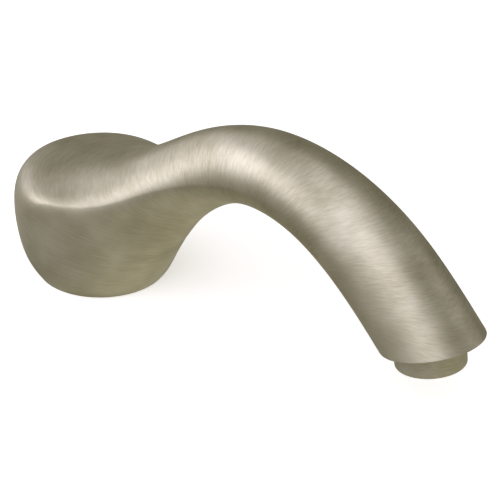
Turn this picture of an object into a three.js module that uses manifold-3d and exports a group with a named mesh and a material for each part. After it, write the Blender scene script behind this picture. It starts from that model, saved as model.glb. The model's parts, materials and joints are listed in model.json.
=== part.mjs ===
// Deck mounted bath spout: a cast, hollow swan-neck body on a slip-on mounting post.
// Millimetres, +Z up. The origin is the centre of the foot on the deck, and +X points at the outlet.

import * as THREE from "three";
import { mergeVertices } from "three/addons/utils/BufferGeometryUtils.js";
import Module from "manifold-3d";

const wasm = await Module();
wasm.setup();

// ---------------------------------------------------------------- driving dimensions

const FOOT_RADIUS = 30;
const GAP = 0.3; // clearance between pieces that touch
const SIDES = 24; // flats that stand for a turned surface
const HOUSING_SIDES = 40;

// Control sections of the body, from the foot to the outlet. Each is the outer point (top side) and the
// inner point (underside) in the XZ plane, the half width across Y, the place of the widest line between
// inner (0) and outer (1), and how full the outer and inner halves are (2 is an ellipse).
const SECTIONS = [
  { outer: [-FOOT_RADIUS, 0], inner: [FOOT_RADIUS, 0], half: FOOT_RADIUS, widest: 0.5, top: 2, under: 2 },
  { outer: [-39, 13], inner: [32, 2.5], half: 36, widest: 0.47, top: 1.95, under: 2 },
  { outer: [-43.5, 33], inner: [37, 11.5], half: 37.5, widest: 0.5, top: 1.9, under: 2 },
  { outer: [-41, 47.5], inner: [43.5, 21.5], half: 38.5, widest: 0.57, top: 1.85, under: 1.87 },
  { outer: [-29, 57], inner: [49, 30], half: 39, widest: 0.7, top: 1.9, under: 1.8 },
  { outer: [-10.5, 57.5], inner: [52.5, 34], half: 36, widest: 0.66, top: 1.9, under: 1.55 },
  { outer: [13, 62.5], inner: [56.5, 40], half: 29, widest: 0.61, top: 1.9, under: 1.4 },
  { outer: [37, 75.5], inner: [64.5, 50.5], half: 21, widest: 0.58, top: 1.85, under: 1.5 },
  { outer: [63, 94], inner: [79.5, 62.5], half: 17, widest: 0.42, top: 1.8, under: 1.55 },
  { outer: [97.5, 106.5], inner: [100.5, 69.5], half: 18.2, widest: 0.38, top: 2.1, under: 1.7 },
  { outer: [138, 102.5], inner: [127, 64], half: 19.7, widest: 0.5, top: 2, under: 2 },
  { outer: [180.5, 81.5], inner: [151, 46], half: 21.3, widest: 0.5, top: 2, under: 2 },
  { outer: [216.5, 40], inner: [170.5, 28.5], half: 23.2, widest: 0.5, top: 2, under: 2 },
];
const WALL = 2.8;
const RIM_WIDTH = 7; // the foot's flat rim
const RIM_BLEND = 1.2; // sections over which the rim thins to the wall
const CAVITY_END = 11.82; // where the hollow stops short of the outlet end
const SKIN_STEPS = { along: 42, around: 32 };
const CAVITY_STEPS = { along: 26, around: 18 };

// Foot gasket groove, in the rim
const GROOVE = { inner: 25.8, outer: 28.4, depth: 1.9 };

// Floor plate of the foot, which carries the inlet hub
const PLATE = { low: 24, high: 28, reach: 120 };

// Mounting post and shank, G1/2 thread below the deck
const POST = { radius: 10, bore: 6.5, top: 26, bottom: -72, thread: 10.4, chamfer: 0.8 };
const COLLAR = { radius: 19, low: 1.8, high: 5.3 };
const SHANK_GASKET = { inner: 11, outer: 18.5, high: 1.5 };
const POST_SEAL = { levels: [18.3, 22.8], ring: 0.9, floor: 7.9, height: 2.4 };
const LOCK_GROOVE = { level: 12, radius: 9, height: 5.4 };
const HUB = { skirt: 13.7, bore: 10.3, low: 6, flange: 21.5, flangeLow: 20.2, top: 30, spigotTop: 38 };
const HUB_SCREW = {
  count: 3,
  circle: 17.6,
  shank: 2,
  head: 3.5,
  headHeight: 2.4,
  end: 27,
  slot: [8, 0.8, 1.1],
};
const SPIGOT = { radius: 5.9, bore: 4.7 };

// Set screw through the back of the foot, M6 x 1
const SET_SCREW = { level: 12, radius: 3, tip: -9.4, start: -12.3, end: -27.2, key: 1.75, keyDepth: 5 };
const SET_TIP = { head: 1.8, stem: 1.1, depth: 2 };
const SET_BOSS = { radius: 6, inner: -14.5, outer: -34 };
const PLUG = { radius: 4.2, inner: -30.3, wall: 1.4, hollow: 2.6, reach: -45 };

// Waterway tube
const TUBE = { radius: 8, bore: 6.7, steps: 32, sides: 6 };
const FERRULE = { inner: 8.5, outer: 9.4, length: 4, start: 1.3 };
const BENDS = [
  [4, 44],
  [16, 50.5],
  [33.5, 55.5],
  [51, 63.5],
  [73, 77],
  [101, 85],
  [129, 81],
  [153, 71.5],
  [173, 63.5],
];

// Outlet: its axis leans outwards from straight down
const OUTLET_LEAN = THREE.MathUtils.degToRad(6);
const OUTLET = new THREE.Vector3(191.8, 0, 33.8); // where the axis crosses the cut end of the body
const BOSS = { radius: 17.6, top: 9.4 };
const SPOT_FACE = { radius: 16.3, depth: 2.5 };
const BUSH = {
  radius: 13.9,
  nose: 13,
  noseEnd: 5.2,
  bore: 10.6,
  plateLow: 7.5,
  plateTop: 9.7,
  spigotTop: 16.5,
};
const HOUSING = {
  radius: 15.8,
  top: 2.1,
  end: 10.4,
  thread: 13.3,
  threadEnd: 7.2,
  chamber: 12.5,
  lip: 9.2,
  mouth: 11.2,
};
const HOUSING_EDGE = { radius: 1.6, steps: 4 };
const AERATOR_WASHER = { inner: 9.9, outer: 12.8, low: -6.8, high: -5.5 };
const CAGE = {
  flange: 12.2,
  flangeLow: -8.9,
  flangeHigh: -7.1,
  outer: 9.6,
  inner: 8.8,
  top: 1.2,
  foot: 9,
  step: -7.6,
};
const STRAIGHTENER = { radius: 8.5, low: -8.7, high: -4.4, cell: 1.55, pitch: 3.3, rings: 2 };
const MIXER = { radius: 9.6, low: 1.5, high: 2.6, hole: 0.7, pitch: 3.6, rings: 2, blank: 2 };
const SCREEN = { radius: 9.6, rim: 1.2, low: 2.9, rise: 3.4, spread: 10, eye: 1.6, gauge: 0.7 };

// Below the deck, set for a deck 20 mm thick
const DECK = 20;
const RUBBER_WASHER = { inner: 10.8, outer: 22, height: 3 };
const STEEL_WASHER = { inner: 10.8, outer: 21, height: 2 };
const LOCK_NUT = { flats: 30, height: 9 };
const COUPLING_NUT = { flats: 27, top: -60, bottom: -80.5, seat: -77.2 };
const FIBRE_WASHER = { inner: 6.6, outer: 9.9 };
const TAILPIECE = { radius: 8.5, bore: 5.5, flange: 9.9, flangeTop: -74.1, flangeLow: -76.9, bottom: -100 };

// ---------------------------------------------------------------- shape helpers

const BRUSHED_NICKEL = { color: 0xa39b88, roughness: 0.38, metalness: 1 };
const BRASS = { color: 0xc2a05a, roughness: 0.4, metalness: 1 };
const STEEL = { color: 0xb9bcc0, roughness: 0.35, metalness: 1 };
const RUBBER = { color: 0x1d1d1e, roughness: 0.8, metalness: 0 };
const ACETAL = { color: 0xe9e7e0, roughness: 0.5, metalness: 0 };
const NYLON = { color: 0xd8d2c0, roughness: 0.55, metalness: 0 };

const part = new THREE.Group();

function solidOf(geometry) {
  const bare = geometry.clone();
  bare.deleteAttribute("normal");
  bare.deleteAttribute("uv");
  const merged = mergeVertices(bare, 1e-4);
  return new wasm.Manifold(
    new wasm.Mesh({
      numProp: 3,
      vertProperties: merged.attributes.position.array,
      triVerts: new Uint32Array(merged.index.array),
    }),
  );
}

function geometryOf(solid) {
  const mesh = solid.getMesh();
  const geometry = new THREE.BufferGeometry();
  geometry.setAttribute("position", new THREE.BufferAttribute(mesh.vertProperties, 3));
  geometry.setIndex(new THREE.BufferAttribute(mesh.triVerts, 1));
  geometry.computeVertexNormals();
  return geometry;
}

function addNode(name, shape, finish, parent = part) {
  const geometry = shape.isBufferGeometry ? shape : geometryOf(shape);
  const mesh = new THREE.Mesh(geometry, new THREE.MeshStandardMaterial(finish));
  mesh.name = name;
  parent.add(mesh);
  return mesh;
}

// A closed outline of [radius, height] points, anticlockwise, turned about the Z axis.
function turned(outline, sides = SIDES) {
  const points = outline.map(([radius, height]) => new THREE.Vector2(radius, height));
  points.push(points[0].clone());
  return new THREE.LatheGeometry(points, sides).rotateX(Math.PI / 2);
}

function ring(inner, outer, low, high, sides = SIDES) {
  return turned([[inner, low], [outer, low], [outer, high], [inner, high]], sides);
}

function cylinder(radius, low, high, sides = SIDES) {
  const geometry = new THREE.CylinderGeometry(radius, radius, high - low, sides);
  return geometry.rotateX(Math.PI / 2).translate(0, 0, (low + high) / 2);
}

// A cylinder along X at a height above the deck.
function crossCylinder(radius, from, to, level, sides = 12) {
  const geometry = new THREE.CylinderGeometry(radius, radius, Math.abs(to - from), sides);
  return geometry.rotateZ(Math.PI / 2).translate((from + to) / 2, 0, level);
}

function box(size, centre) {
  return new THREE.BoxGeometry(...size).translate(...centre);
}

// An O-ring of round section about the Z axis.
function oRing(middle, section, level) {
  return new THREE.TorusGeometry(middle, section, 6, SIDES).translate(0, 0, level);
}

function hexagon(flats) {
  const corner = flats / Math.sqrt(3);
  const shape = new THREE.Shape();
  for (let i = 0; i < 6; i++) {
    const angle = (i * Math.PI) / 3;
    const move = i ? "lineTo" : "moveTo";
    shape[move](corner * Math.cos(angle), corner * Math.sin(angle));
  }
  shape.closePath();
  return shape;
}

// A hexagon nut with chamfered corners, still without its bore.
function nutBlank(flats, low, high) {
  const corner = flats / Math.sqrt(3);
  const chamfer = corner - flats / 2;
  const prism = new THREE.ExtrudeGeometry(hexagon(flats), { depth: high - low, bevelEnabled: false });
  const cheese = turned(
    [
      [0.001, low],
      [corner - chamfer, low],
      [corner, low + chamfer * 0.6],
      [corner, high - chamfer * 0.6],
      [corner - chamfer, high],
      [0.001, high],
    ],
  );
  const core = cylinder(1, low, high, 6);
  return solidOf(prism.translate(0, 0, low)).intersect(solidOf(cheese).add(solidOf(core)));
}

// ---------------------------------------------------------------- spout body

// Uniform cubic B-spline through control values, mirrored past both ends so that it meets the end values.
function spline(values, v) {
  const last = values.length - 1;
  const padded = [2 * values[0] - values[1], ...values, 2 * values[last] - values[last - 1]];
  const i = Math.min(Math.floor(v), last - 1);
  const t = v - i;
  const weights = [
    (1 - t) ** 3,
    3 * t ** 3 - 6 * t ** 2 + 4,
    -3 * t ** 3 + 3 * t ** 2 + 3 * t + 1,
    t ** 3,
  ];
  return weights.reduce((sum, weight, k) => sum + (weight * padded[i + k]) / 6, 0);
}

function sectionAt(v) {
  const at = (pick) => spline(SECTIONS.map(pick), v);
  return {
    outer: new THREE.Vector3(at((s) => s.outer[0]), 0, at((s) => s.outer[1])),
    inner: new THREE.Vector3(at((s) => s.inner[0]), 0, at((s) => s.inner[1])),
    half: at((s) => s.half),
    widest: at((s) => s.widest),
    top: at((s) => s.top),
    under: at((s) => s.under),
  };
}

const signedPower = (value, power) => Math.sign(value) * Math.abs(value) ** power;

// The closed section at v, made smaller all round by inset: two half superellipses on one widest line.
function sectionRing(v, inset, around) {
  const section = sectionAt(v);
  const across = section.outer.clone().sub(section.inner);
  const depth = across.length();
  const ringPoints = [];
  for (let i = 0; i < around; i++) {
    const angle = (2 * Math.PI * i) / around;
    const fullness = Math.cos(angle) >= 0 ? section.top : section.under;
    const rise = signedPower(Math.cos(angle), 2 / fullness);
    const side = signedPower(Math.sin(angle), 2 / fullness);
    const share = section.widest + rise * (rise >= 0 ? 1 - section.widest : section.widest);
    const along = inset / depth + share * (1 - (2 * inset) / depth);
    const point = section.inner.clone().addScaledVector(across, along);
    point.y = (section.half - inset) * side;
    ringPoints.push(point);
  }
  return ringPoints;
}

// A closed skin over rings of equal length, with a flat fan at each end.
function skin(rings) {
  const around = rings[0].length;
  const positions = rings.flat().flatMap((p) => p.toArray());
  const middle = (points) => points.reduce((a, p) => a.add(p), new THREE.Vector3()).divideScalar(around);
  const first = rings.length * around;
  positions.push(...middle(rings[0]).toArray(), ...middle(rings.at(-1)).toArray());
  const index = [];
  for (let j = 0; j < around; j++) {
    const next = (j + 1) % around;
    for (let i = 0; i + 1 < rings.length; i++) {
      const a = i * around;
      const b = a + around;
      index.push(a + j, b + j, b + next, a + j, b + next, a + next);
    }
    const end = (rings.length - 1) * around;
    index.push(first, j, next, first + 1, end + next, end + j);
  }
  const geometry = new THREE.BufferGeometry();
  geometry.setAttribute("position", new THREE.Float32BufferAttribute(positions, 3));
  geometry.setIndex(index);
  return geometry;
}

function outerSkin() {
  const rings = [];
  const last = SECTIONS.length - 1;
  for (let i = 0; i <= SKIN_STEPS.along; i++) {
    rings.push(sectionRing((last * i) / SKIN_STEPS.along, 0, SKIN_STEPS.around));
  }
  return solidOf(skin(rings));
}

function cavity() {
  const inset = (v) => WALL + (RIM_WIDTH - WALL) * (1 - THREE.MathUtils.smoothstep(v, 0, RIM_BLEND));
  const rings = [];
  for (let i = 0; i <= CAVITY_STEPS.along; i++) {
    const v = (CAVITY_END * i) / CAVITY_STEPS.along;
    rings.push(sectionRing(v, inset(v), CAVITY_STEPS.around));
  }
  const below = rings[0].map((p) => p.clone().setZ(-1));
  return solidOf(skin([below, ...rings]));
}

// Turns a shape built down the Z axis, s = -z, into the outlet's place: s = 0 is the body's cut end.
function toOutlet(geometry) {
  return geometry.rotateY(-OUTLET_LEAN).translate(...OUTLET.toArray());
}

function outletSolid(geometry) {
  return solidOf(toOutlet(geometry));
}

function spoutBody() {
  const outside = outerSkin();
  const plate = outside.intersect(
    solidOf(box([PLATE.reach, PLATE.reach, PLATE.high - PLATE.low], [0, 0, (PLATE.low + PLATE.high) / 2])),
  );
  const setBoss = outside.intersect(
    solidOf(crossCylinder(SET_BOSS.radius, SET_BOSS.inner, SET_BOSS.outer, SET_SCREW.level)),
  );
  const outletBoss = outside.intersect(outletSolid(cylinder(BOSS.radius, -1, BOSS.top)));
  let body = outside.subtract(cavity()).add(plate).add(setBoss).add(outletBoss);

  body = body.subtract(solidOf(cylinder(HUB.skirt + GAP, PLATE.low - 1, PLATE.high + 1)));
  for (const [x, y] of hubScrewPlaces()) {
    const hole = cylinder(HUB_SCREW.shank + GAP, PLATE.low - 1, HUB_SCREW.end + GAP, 12);
    body = body.subtract(solidOf(hole.translate(x, y, 0)));
  }
  body = body.subtract(solidOf(ring(GROOVE.inner, GROOVE.outer, -1, GROOVE.depth)));
  body = body.subtract(
    solidOf(crossCylinder(SET_SCREW.radius + GAP, SET_BOSS.inner + 1, SET_BOSS.outer, SET_SCREW.level)),
  );
  body = body.subtract(
    solidOf(crossCylinder(PLUG.radius + GAP, PLUG.inner + GAP, PLUG.reach, SET_SCREW.level)),
  );
  body = body.subtract(outletSolid(cylinder(BUSH.radius + GAP, -20, BOSS.top + 1)));
  return body.subtract(outletSolid(cylinder(SPOT_FACE.radius, -20, SPOT_FACE.depth)));
}

// ---------------------------------------------------------------- inlet hub and post

function hubScrewPlaces() {
  const places = [];
  for (let i = 0; i < HUB_SCREW.count; i++) {
    const angle = (2 * Math.PI * i) / HUB_SCREW.count;
    places.push([HUB_SCREW.circle * Math.cos(angle), HUB_SCREW.circle * Math.sin(angle)]);
  }
  return places;
}

function inletHub() {
  const flangeHigh = PLATE.low - GAP;
  let hub = solidOf(
    turned([
      [HUB.bore, HUB.low],
      [HUB.skirt, HUB.low],
      [HUB.skirt, HUB.flangeLow],
      [HUB.flange, HUB.flangeLow],
      [HUB.flange, flangeHigh],
      [HUB.skirt, flangeHigh],
      [HUB.skirt, HUB.top],
      [SPIGOT.radius, HUB.top],
      [SPIGOT.radius, HUB.spigotTop],
      [SPIGOT.bore, HUB.spigotTop],
      [SPIGOT.bore, HUB.top - 1],
      [HUB.bore, HUB.top - 3],
    ]),
  );
  for (const [x, y] of hubScrewPlaces()) {
    const hole = cylinder(HUB_SCREW.shank + GAP, HUB.flangeLow - 1, PLATE.low + 1, 12);
    hub = hub.subtract(solidOf(hole.translate(x, y, 0)));
  }
  return hub.subtract(solidOf(crossCylinder(SET_SCREW.radius + GAP, 0, -HUB.skirt - 1, SET_SCREW.level)));
}

function hubScrew(x, y) {
  const headTop = HUB.flangeLow - GAP;
  const headLow = headTop - HUB_SCREW.headHeight;
  const head = solidOf(cylinder(HUB_SCREW.head, headLow, headTop, 12));
  const shank = solidOf(cylinder(HUB_SCREW.shank, headTop - 1, HUB_SCREW.end, 8));
  const slot = solidOf(box(HUB_SCREW.slot, [0, 0, headLow]));
  return head.add(shank).subtract(slot).translate([x, y, 0]);
}

function mountingShank() {
  const grooves = POST_SEAL.levels.flatMap((level) => [
    [POST.radius, level - POST_SEAL.height / 2],
    [POST_SEAL.floor, level - POST_SEAL.height / 2],
    [POST_SEAL.floor, level + POST_SEAL.height / 2],
    [POST.radius, level + POST_SEAL.height / 2],
  ]);
  return turned([
    [POST.bore, POST.bottom],
    [POST.thread, POST.bottom],
    [POST.thread, COLLAR.low],
    [COLLAR.radius, COLLAR.low],
    [COLLAR.radius, COLLAR.high],
    [POST.radius, COLLAR.high],
    [POST.radius, LOCK_GROOVE.level - LOCK_GROOVE.height / 2],
    [LOCK_GROOVE.radius, LOCK_GROOVE.level - LOCK_GROOVE.height / 2 + POST.chamfer],
    [LOCK_GROOVE.radius, LOCK_GROOVE.level + LOCK_GROOVE.height / 2 - POST.chamfer],
    [POST.radius, LOCK_GROOVE.level + LOCK_GROOVE.height / 2],
    ...grooves,
    [POST.radius, POST.top - POST.chamfer],
    [POST.radius - POST.chamfer, POST.top],
    [POST.bore, POST.top],
  ]);
}

// ---------------------------------------------------------------- set screw

function setScrew() {
  const { radius, start, end, key, keyDepth, level } = SET_SCREW;
  const blank = solidOf(crossCylinder(radius, start, end, level));
  const socket = new THREE.CylinderGeometry(key, key, keyDepth + 1, 6).rotateZ(Math.PI / 2);
  const socketSolid = solidOf(socket.translate(end + (keyDepth - 1) / 2, 0, level));
  const tipBore = solidOf(crossCylinder(SET_TIP.stem + GAP, start + 1, start - SET_TIP.depth, level));
  return blank.subtract(socketSolid).subtract(tipBore);
}

function setScrewTip() {
  const { tip, start, level } = SET_SCREW;
  const head = solidOf(crossCylinder(SET_TIP.head, tip, start + GAP, level));
  const stem = solidOf(crossCylinder(SET_TIP.stem, start + 1, start - SET_TIP.depth + GAP, level));
  return head.add(stem);
}

// The plug's outer face follows the body's skin.
function plugButton() {
  const { radius, inner, wall, hollow, reach } = PLUG;
  const stem = solidOf(crossCylinder(radius, inner, reach, SET_SCREW.level));
  const pocket = solidOf(crossCylinder(radius - wall, inner + 1, inner - hollow, SET_SCREW.level));
  return stem.intersect(outerSkin()).subtract(pocket);
}

// ---------------------------------------------------------------- waterway

function onOutletAxis(s) {
  const down = new THREE.Vector3(Math.sin(OUTLET_LEAN), 0, -Math.cos(OUTLET_LEAN));
  return OUTLET.clone().addScaledVector(down, s);
}

function waterwayPath() {
  const start = [HUB.top + GAP, HUB.top + 3, HUB.spigotTop].map((z) => new THREE.Vector3(0, 0, z));
  const middle = BENDS.map(([x, z]) => new THREE.Vector3(x, 0, z));
  const { spigotTop, plateTop } = BUSH;
  const end = [spigotTop + 3, spigotTop, plateTop + 3, plateTop + GAP].map((height) => onOutletAxis(-height));
  return new THREE.CatmullRomCurve3([...start, ...middle, ...end], false, "centripetal");
}

function waterwayTube() {
  const disc = new THREE.Shape().absarc(0, 0, TUBE.radius, 0, 2 * Math.PI, false);
  disc.holes.push(new THREE.Path().absarc(0, 0, TUBE.bore, 0, 2 * Math.PI, true));
  return new THREE.ExtrudeGeometry(disc, {
    steps: TUBE.steps,
    curveSegments: TUBE.sides,
    extrudePath: waterwayPath(),
    bevelEnabled: false,
  });
}

// A crimped sleeve round the tube, just above the shoulder that the tube stands on.
function ferrule(shoulder) {
  const low = shoulder + FERRULE.start;
  return ring(FERRULE.inner, FERRULE.outer, low, low + FERRULE.length);
}

// ---------------------------------------------------------------- outlet pieces

function outletBush() {
  const { radius, nose, noseEnd, bore, plateLow, plateTop, spigotTop } = BUSH;
  return turned([
    [bore, -noseEnd],
    [nose, -noseEnd],
    [nose, SPOT_FACE.depth],
    [radius, SPOT_FACE.depth],
    [radius, plateTop - GAP],
    [SPIGOT.radius, plateTop],
    [SPIGOT.radius, spigotTop],
    [SPIGOT.bore, spigotTop],
    [SPIGOT.bore, plateLow],
    [bore, plateLow],
  ]);
}

function aeratorHousing() {
  const { radius, top, end, thread, threadEnd, chamber, lip, mouth } = HOUSING;
  const edge = HOUSING_EDGE.radius;
  const rounded = [];
  for (let i = 0; i <= HOUSING_EDGE.steps; i++) {
    const angle = (i * Math.PI) / 2 / HOUSING_EDGE.steps;
    rounded.push([radius - edge + edge * Math.sin(angle), edge - end - edge * Math.cos(angle)]);
  }
  return turned(
    [
      [mouth, -end],
      ...rounded,
      [radius, top],
      [thread, top],
      [thread, -threadEnd],
      [chamber, -threadEnd],
      [chamber, -lip],
      [mouth, -lip],
    ],
    HOUSING_SIDES,
  );
}

function aeratorWasher() {
  return ring(AERATOR_WASHER.inner, AERATOR_WASHER.outer, AERATOR_WASHER.low, AERATOR_WASHER.high);
}

function aeratorCage() {
  const { flange, flangeLow, flangeHigh, outer, inner, top, foot, step } = CAGE;
  return turned([
    [foot, flangeLow],
    [flange, flangeLow],
    [flange, flangeHigh],
    [outer, flangeHigh],
    [outer, top],
    [inner, top],
    [inner, step],
  ]);
}

// Cells on a triangular net, from the middle outwards.
function netPlaces(pitch, rings) {
  const places = [];
  for (let a = -rings; a <= rings; a++) {
    for (let b = -rings; b <= rings; b++) {
      if (Math.abs(a + b) <= rings) places.push([pitch * (a + b / 2), (pitch * b * Math.sqrt(3)) / 2]);
    }
  }
  return places;
}

function piercedDisc(radius, low, high, hole, sides, places) {
  const disc = new THREE.Shape().absarc(0, 0, radius, 0, 2 * Math.PI, false);
  for (const [x, y] of places) {
    const path = new THREE.Path();
    for (let i = 0; i <= sides; i++) {
      const angle = Math.PI / sides - (2 * Math.PI * i) / sides;
      const move = i ? "lineTo" : "moveTo";
      path[move](x + hole * Math.cos(angle), y + hole * Math.sin(angle));
    }
    disc.holes.push(path);
  }
  const settings = { depth: high - low, curveSegments: 10, bevelEnabled: false };
  return new THREE.ExtrudeGeometry(disc, settings).translate(0, 0, low);
}

function flowStraightener() {
  const { radius, low, high, cell, pitch, rings } = STRAIGHTENER;
  return piercedDisc(radius, low, high, cell, 6, netPlaces(pitch, rings));
}

function mixingPlate() {
  const { radius, low, high, hole, pitch, rings, blank } = MIXER;
  const places = netPlaces(pitch, rings).filter(([x, y]) => Math.hypot(x, y) > blank);
  return piercedDisc(radius, low, high, hole, 6, places);
}

// A shallow dome with an eye at its top, standing on a rim.
function inletScreen() {
  const { radius, rim, low, rise, spread, eye, gauge } = SCREEN;
  const shares = [0.85, 0.6, 0.35];
  const arc = (r, lift) => [r, low + lift + rise * Math.sqrt(1 - (r / spread) ** 2)];
  const outside = shares.map((share) => arc(radius * share, gauge));
  const inside = shares.toReversed().map((share) => arc(radius * share, 0));
  return turned([[radius - rim, low], [radius, low], ...outside, arc(eye, gauge), arc(eye, 0), ...inside]);
}

// ---------------------------------------------------------------- below the deck

function lockNut() {
  const top = -DECK - RUBBER_WASHER.height - STEEL_WASHER.height - 3 * GAP;
  const low = top - LOCK_NUT.height;
  return nutBlank(LOCK_NUT.flats, low, top).subtract(solidOf(cylinder(POST.thread + GAP, low - 1, top + 1)));
}

function couplingNut() {
  const { flats, top, bottom, seat } = COUPLING_NUT;
  const blank = nutBlank(flats, bottom, top);
  const thread = solidOf(cylinder(POST.thread + GAP, seat, top + 1));
  return blank.subtract(thread).subtract(solidOf(cylinder(TAILPIECE.radius + GAP, bottom - 1, seat + 1)));
}

function fibreWasher() {
  return ring(FIBRE_WASHER.inner, FIBRE_WASHER.outer, TAILPIECE.flangeTop + GAP, POST.bottom - GAP);
}

function supplyTailpiece() {
  const { radius, bore, flange, flangeTop, flangeLow, bottom } = TAILPIECE;
  return turned([
    [bore, bottom],
    [radius, bottom],
    [radius, flangeLow],
    [flange, flangeLow],
    [flange, flangeTop],
    [bore, flangeTop],
  ]);
}

// ---------------------------------------------------------------- assembly

addNode("spout_body", spoutBody(), BRUSHED_NICKEL);
addNode("foot_gasket", ring(GROOVE.inner + GAP, GROOVE.outer - GAP, 0, GROOVE.depth - GAP), RUBBER);

addNode("inlet_hub", inletHub(), BRASS);
hubScrewPlaces().forEach(([x, y], i) => addNode(`hub_screw_${i + 1}`, hubScrew(x, y), STEEL));
addNode("mounting_shank", mountingShank(), BRASS);
addNode("shank_gasket", ring(SHANK_GASKET.inner, SHANK_GASKET.outer, 0, SHANK_GASKET.high), RUBBER);
POST_SEAL.levels.forEach((level, i) => {
  const middle = POST_SEAL.floor + GAP + POST_SEAL.ring;
  addNode(`post_o_ring_${i + 1}`, oRing(middle, POST_SEAL.ring, level), RUBBER);
});

addNode("set_screw", setScrew(), STEEL);
addNode("set_screw_tip", setScrewTip(), NYLON);
addNode("plug_button", plugButton(), BRUSHED_NICKEL);

addNode("waterway_tube", waterwayTube(), ACETAL);
addNode("inlet_ferrule", ferrule(HUB.top), STEEL);

const outlet = new THREE.Group();
outlet.position.copy(OUTLET);
outlet.rotation.y = -OUTLET_LEAN;
part.add(outlet);
addNode("outlet_ferrule", ferrule(BUSH.plateTop), STEEL, outlet);
addNode("outlet_bush", outletBush(), BRASS, outlet);
addNode("aerator_housing", aeratorHousing(), BRUSHED_NICKEL, outlet);
addNode("aerator_washer", aeratorWasher(), RUBBER, outlet);
addNode("aerator_cage", aeratorCage(), ACETAL, outlet);
addNode("flow_straightener", flowStraightener(), ACETAL, outlet);
addNode("mixing_plate", mixingPlate(), ACETAL, outlet);
addNode("inlet_screen", inletScreen(), STEEL, outlet);

const rubberTop = -DECK;
const rubberLow = rubberTop - RUBBER_WASHER.height;
const steelTop = rubberLow - GAP;
const steelLow = steelTop - STEEL_WASHER.height;
addNode("rubber_washer", ring(RUBBER_WASHER.inner, RUBBER_WASHER.outer, rubberLow, rubberTop), RUBBER);
addNode("steel_washer", ring(STEEL_WASHER.inner, STEEL_WASHER.outer, steelLow, steelTop), STEEL);
addNode("lock_nut", lockNut(), BRASS);
addNode("coupling_nut", couplingNut(), BRASS);
addNode("fibre_washer", fibreWasher(), RUBBER);
addNode("supply_tailpiece", supplyTailpiece(), BRASS);

export default part;
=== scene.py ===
"""Deck mounted bath spout: the looks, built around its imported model.

Sizes are in millimetres, and make_object turns them into Blender's metres. The frame is the model's own: the
origin is the centre of the foot on the deck, +Z is up, and +X points from the foot towards the outlet. Pieces are
closed surfaces on grids of rings, worked out with numpy, apart from one that is kept from the model.
"""

from __future__ import annotations

import json
import logging
import math
from dataclasses import dataclass, field
from enum import Enum
from typing import Any, Sequence

import bmesh
import bpy
import numpy as np
from mathutils import Matrix, Vector

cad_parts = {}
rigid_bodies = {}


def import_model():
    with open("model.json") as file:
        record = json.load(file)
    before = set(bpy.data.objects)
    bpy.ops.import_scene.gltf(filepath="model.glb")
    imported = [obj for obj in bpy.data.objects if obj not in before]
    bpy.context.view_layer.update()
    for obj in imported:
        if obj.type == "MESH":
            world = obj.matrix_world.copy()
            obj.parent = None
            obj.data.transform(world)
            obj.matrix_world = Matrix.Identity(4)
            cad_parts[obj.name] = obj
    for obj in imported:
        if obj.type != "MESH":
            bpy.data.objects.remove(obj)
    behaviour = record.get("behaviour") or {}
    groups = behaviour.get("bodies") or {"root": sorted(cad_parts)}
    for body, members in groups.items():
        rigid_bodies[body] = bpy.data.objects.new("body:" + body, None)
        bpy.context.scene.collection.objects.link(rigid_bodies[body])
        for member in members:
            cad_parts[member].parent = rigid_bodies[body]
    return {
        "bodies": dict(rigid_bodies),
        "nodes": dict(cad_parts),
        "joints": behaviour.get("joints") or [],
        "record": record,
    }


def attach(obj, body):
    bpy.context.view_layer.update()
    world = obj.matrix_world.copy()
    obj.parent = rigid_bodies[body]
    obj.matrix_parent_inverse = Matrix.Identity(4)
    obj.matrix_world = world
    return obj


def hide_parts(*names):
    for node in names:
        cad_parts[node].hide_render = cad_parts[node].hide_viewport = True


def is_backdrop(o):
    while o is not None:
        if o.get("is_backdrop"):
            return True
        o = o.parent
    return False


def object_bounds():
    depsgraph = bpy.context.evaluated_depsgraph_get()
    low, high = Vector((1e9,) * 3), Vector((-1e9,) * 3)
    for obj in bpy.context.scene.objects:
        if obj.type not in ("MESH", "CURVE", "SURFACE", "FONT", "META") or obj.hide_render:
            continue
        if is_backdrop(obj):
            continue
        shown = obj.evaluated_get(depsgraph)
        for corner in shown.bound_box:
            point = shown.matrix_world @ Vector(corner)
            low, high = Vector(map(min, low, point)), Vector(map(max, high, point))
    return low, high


LOG = logging.getLogger("bath_spout")
Array = np.ndarray
MM = 0.001
TURN = 2 * math.pi
LAY = "lay"  # the UV map: turns round the piece, and metres along its outline
SHARP = math.radians(38)  # edges sharper than this are drawn as edges
GAP = 0.3  # clearance between pieces that touch


# ---------------------------------------------------------------- grids


class Ends(Enum):
    """How a grid of rings is closed."""

    LOOP = "the last ring joins the first"
    FAN = "each end ring is closed to a point at its middle"


@dataclass(frozen=True)
class Place:
    """Where a piece's own axes lie in the frame."""

    origin: tuple[float, float, float] = (0.0, 0.0, 0.0)
    across: tuple[float, float, float] = (1.0, 0.0, 0.0)
    side: tuple[float, float, float] = (0.0, 1.0, 0.0)
    up: tuple[float, float, float] = (0.0, 0.0, 1.0)

    def put(self, points: Array) -> Array:
        """Carries points from the piece's own axes into the frame."""
        return points @ np.array([self.across, self.side, self.up]) + np.array(self.origin)


UPRIGHT = Place()


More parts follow.
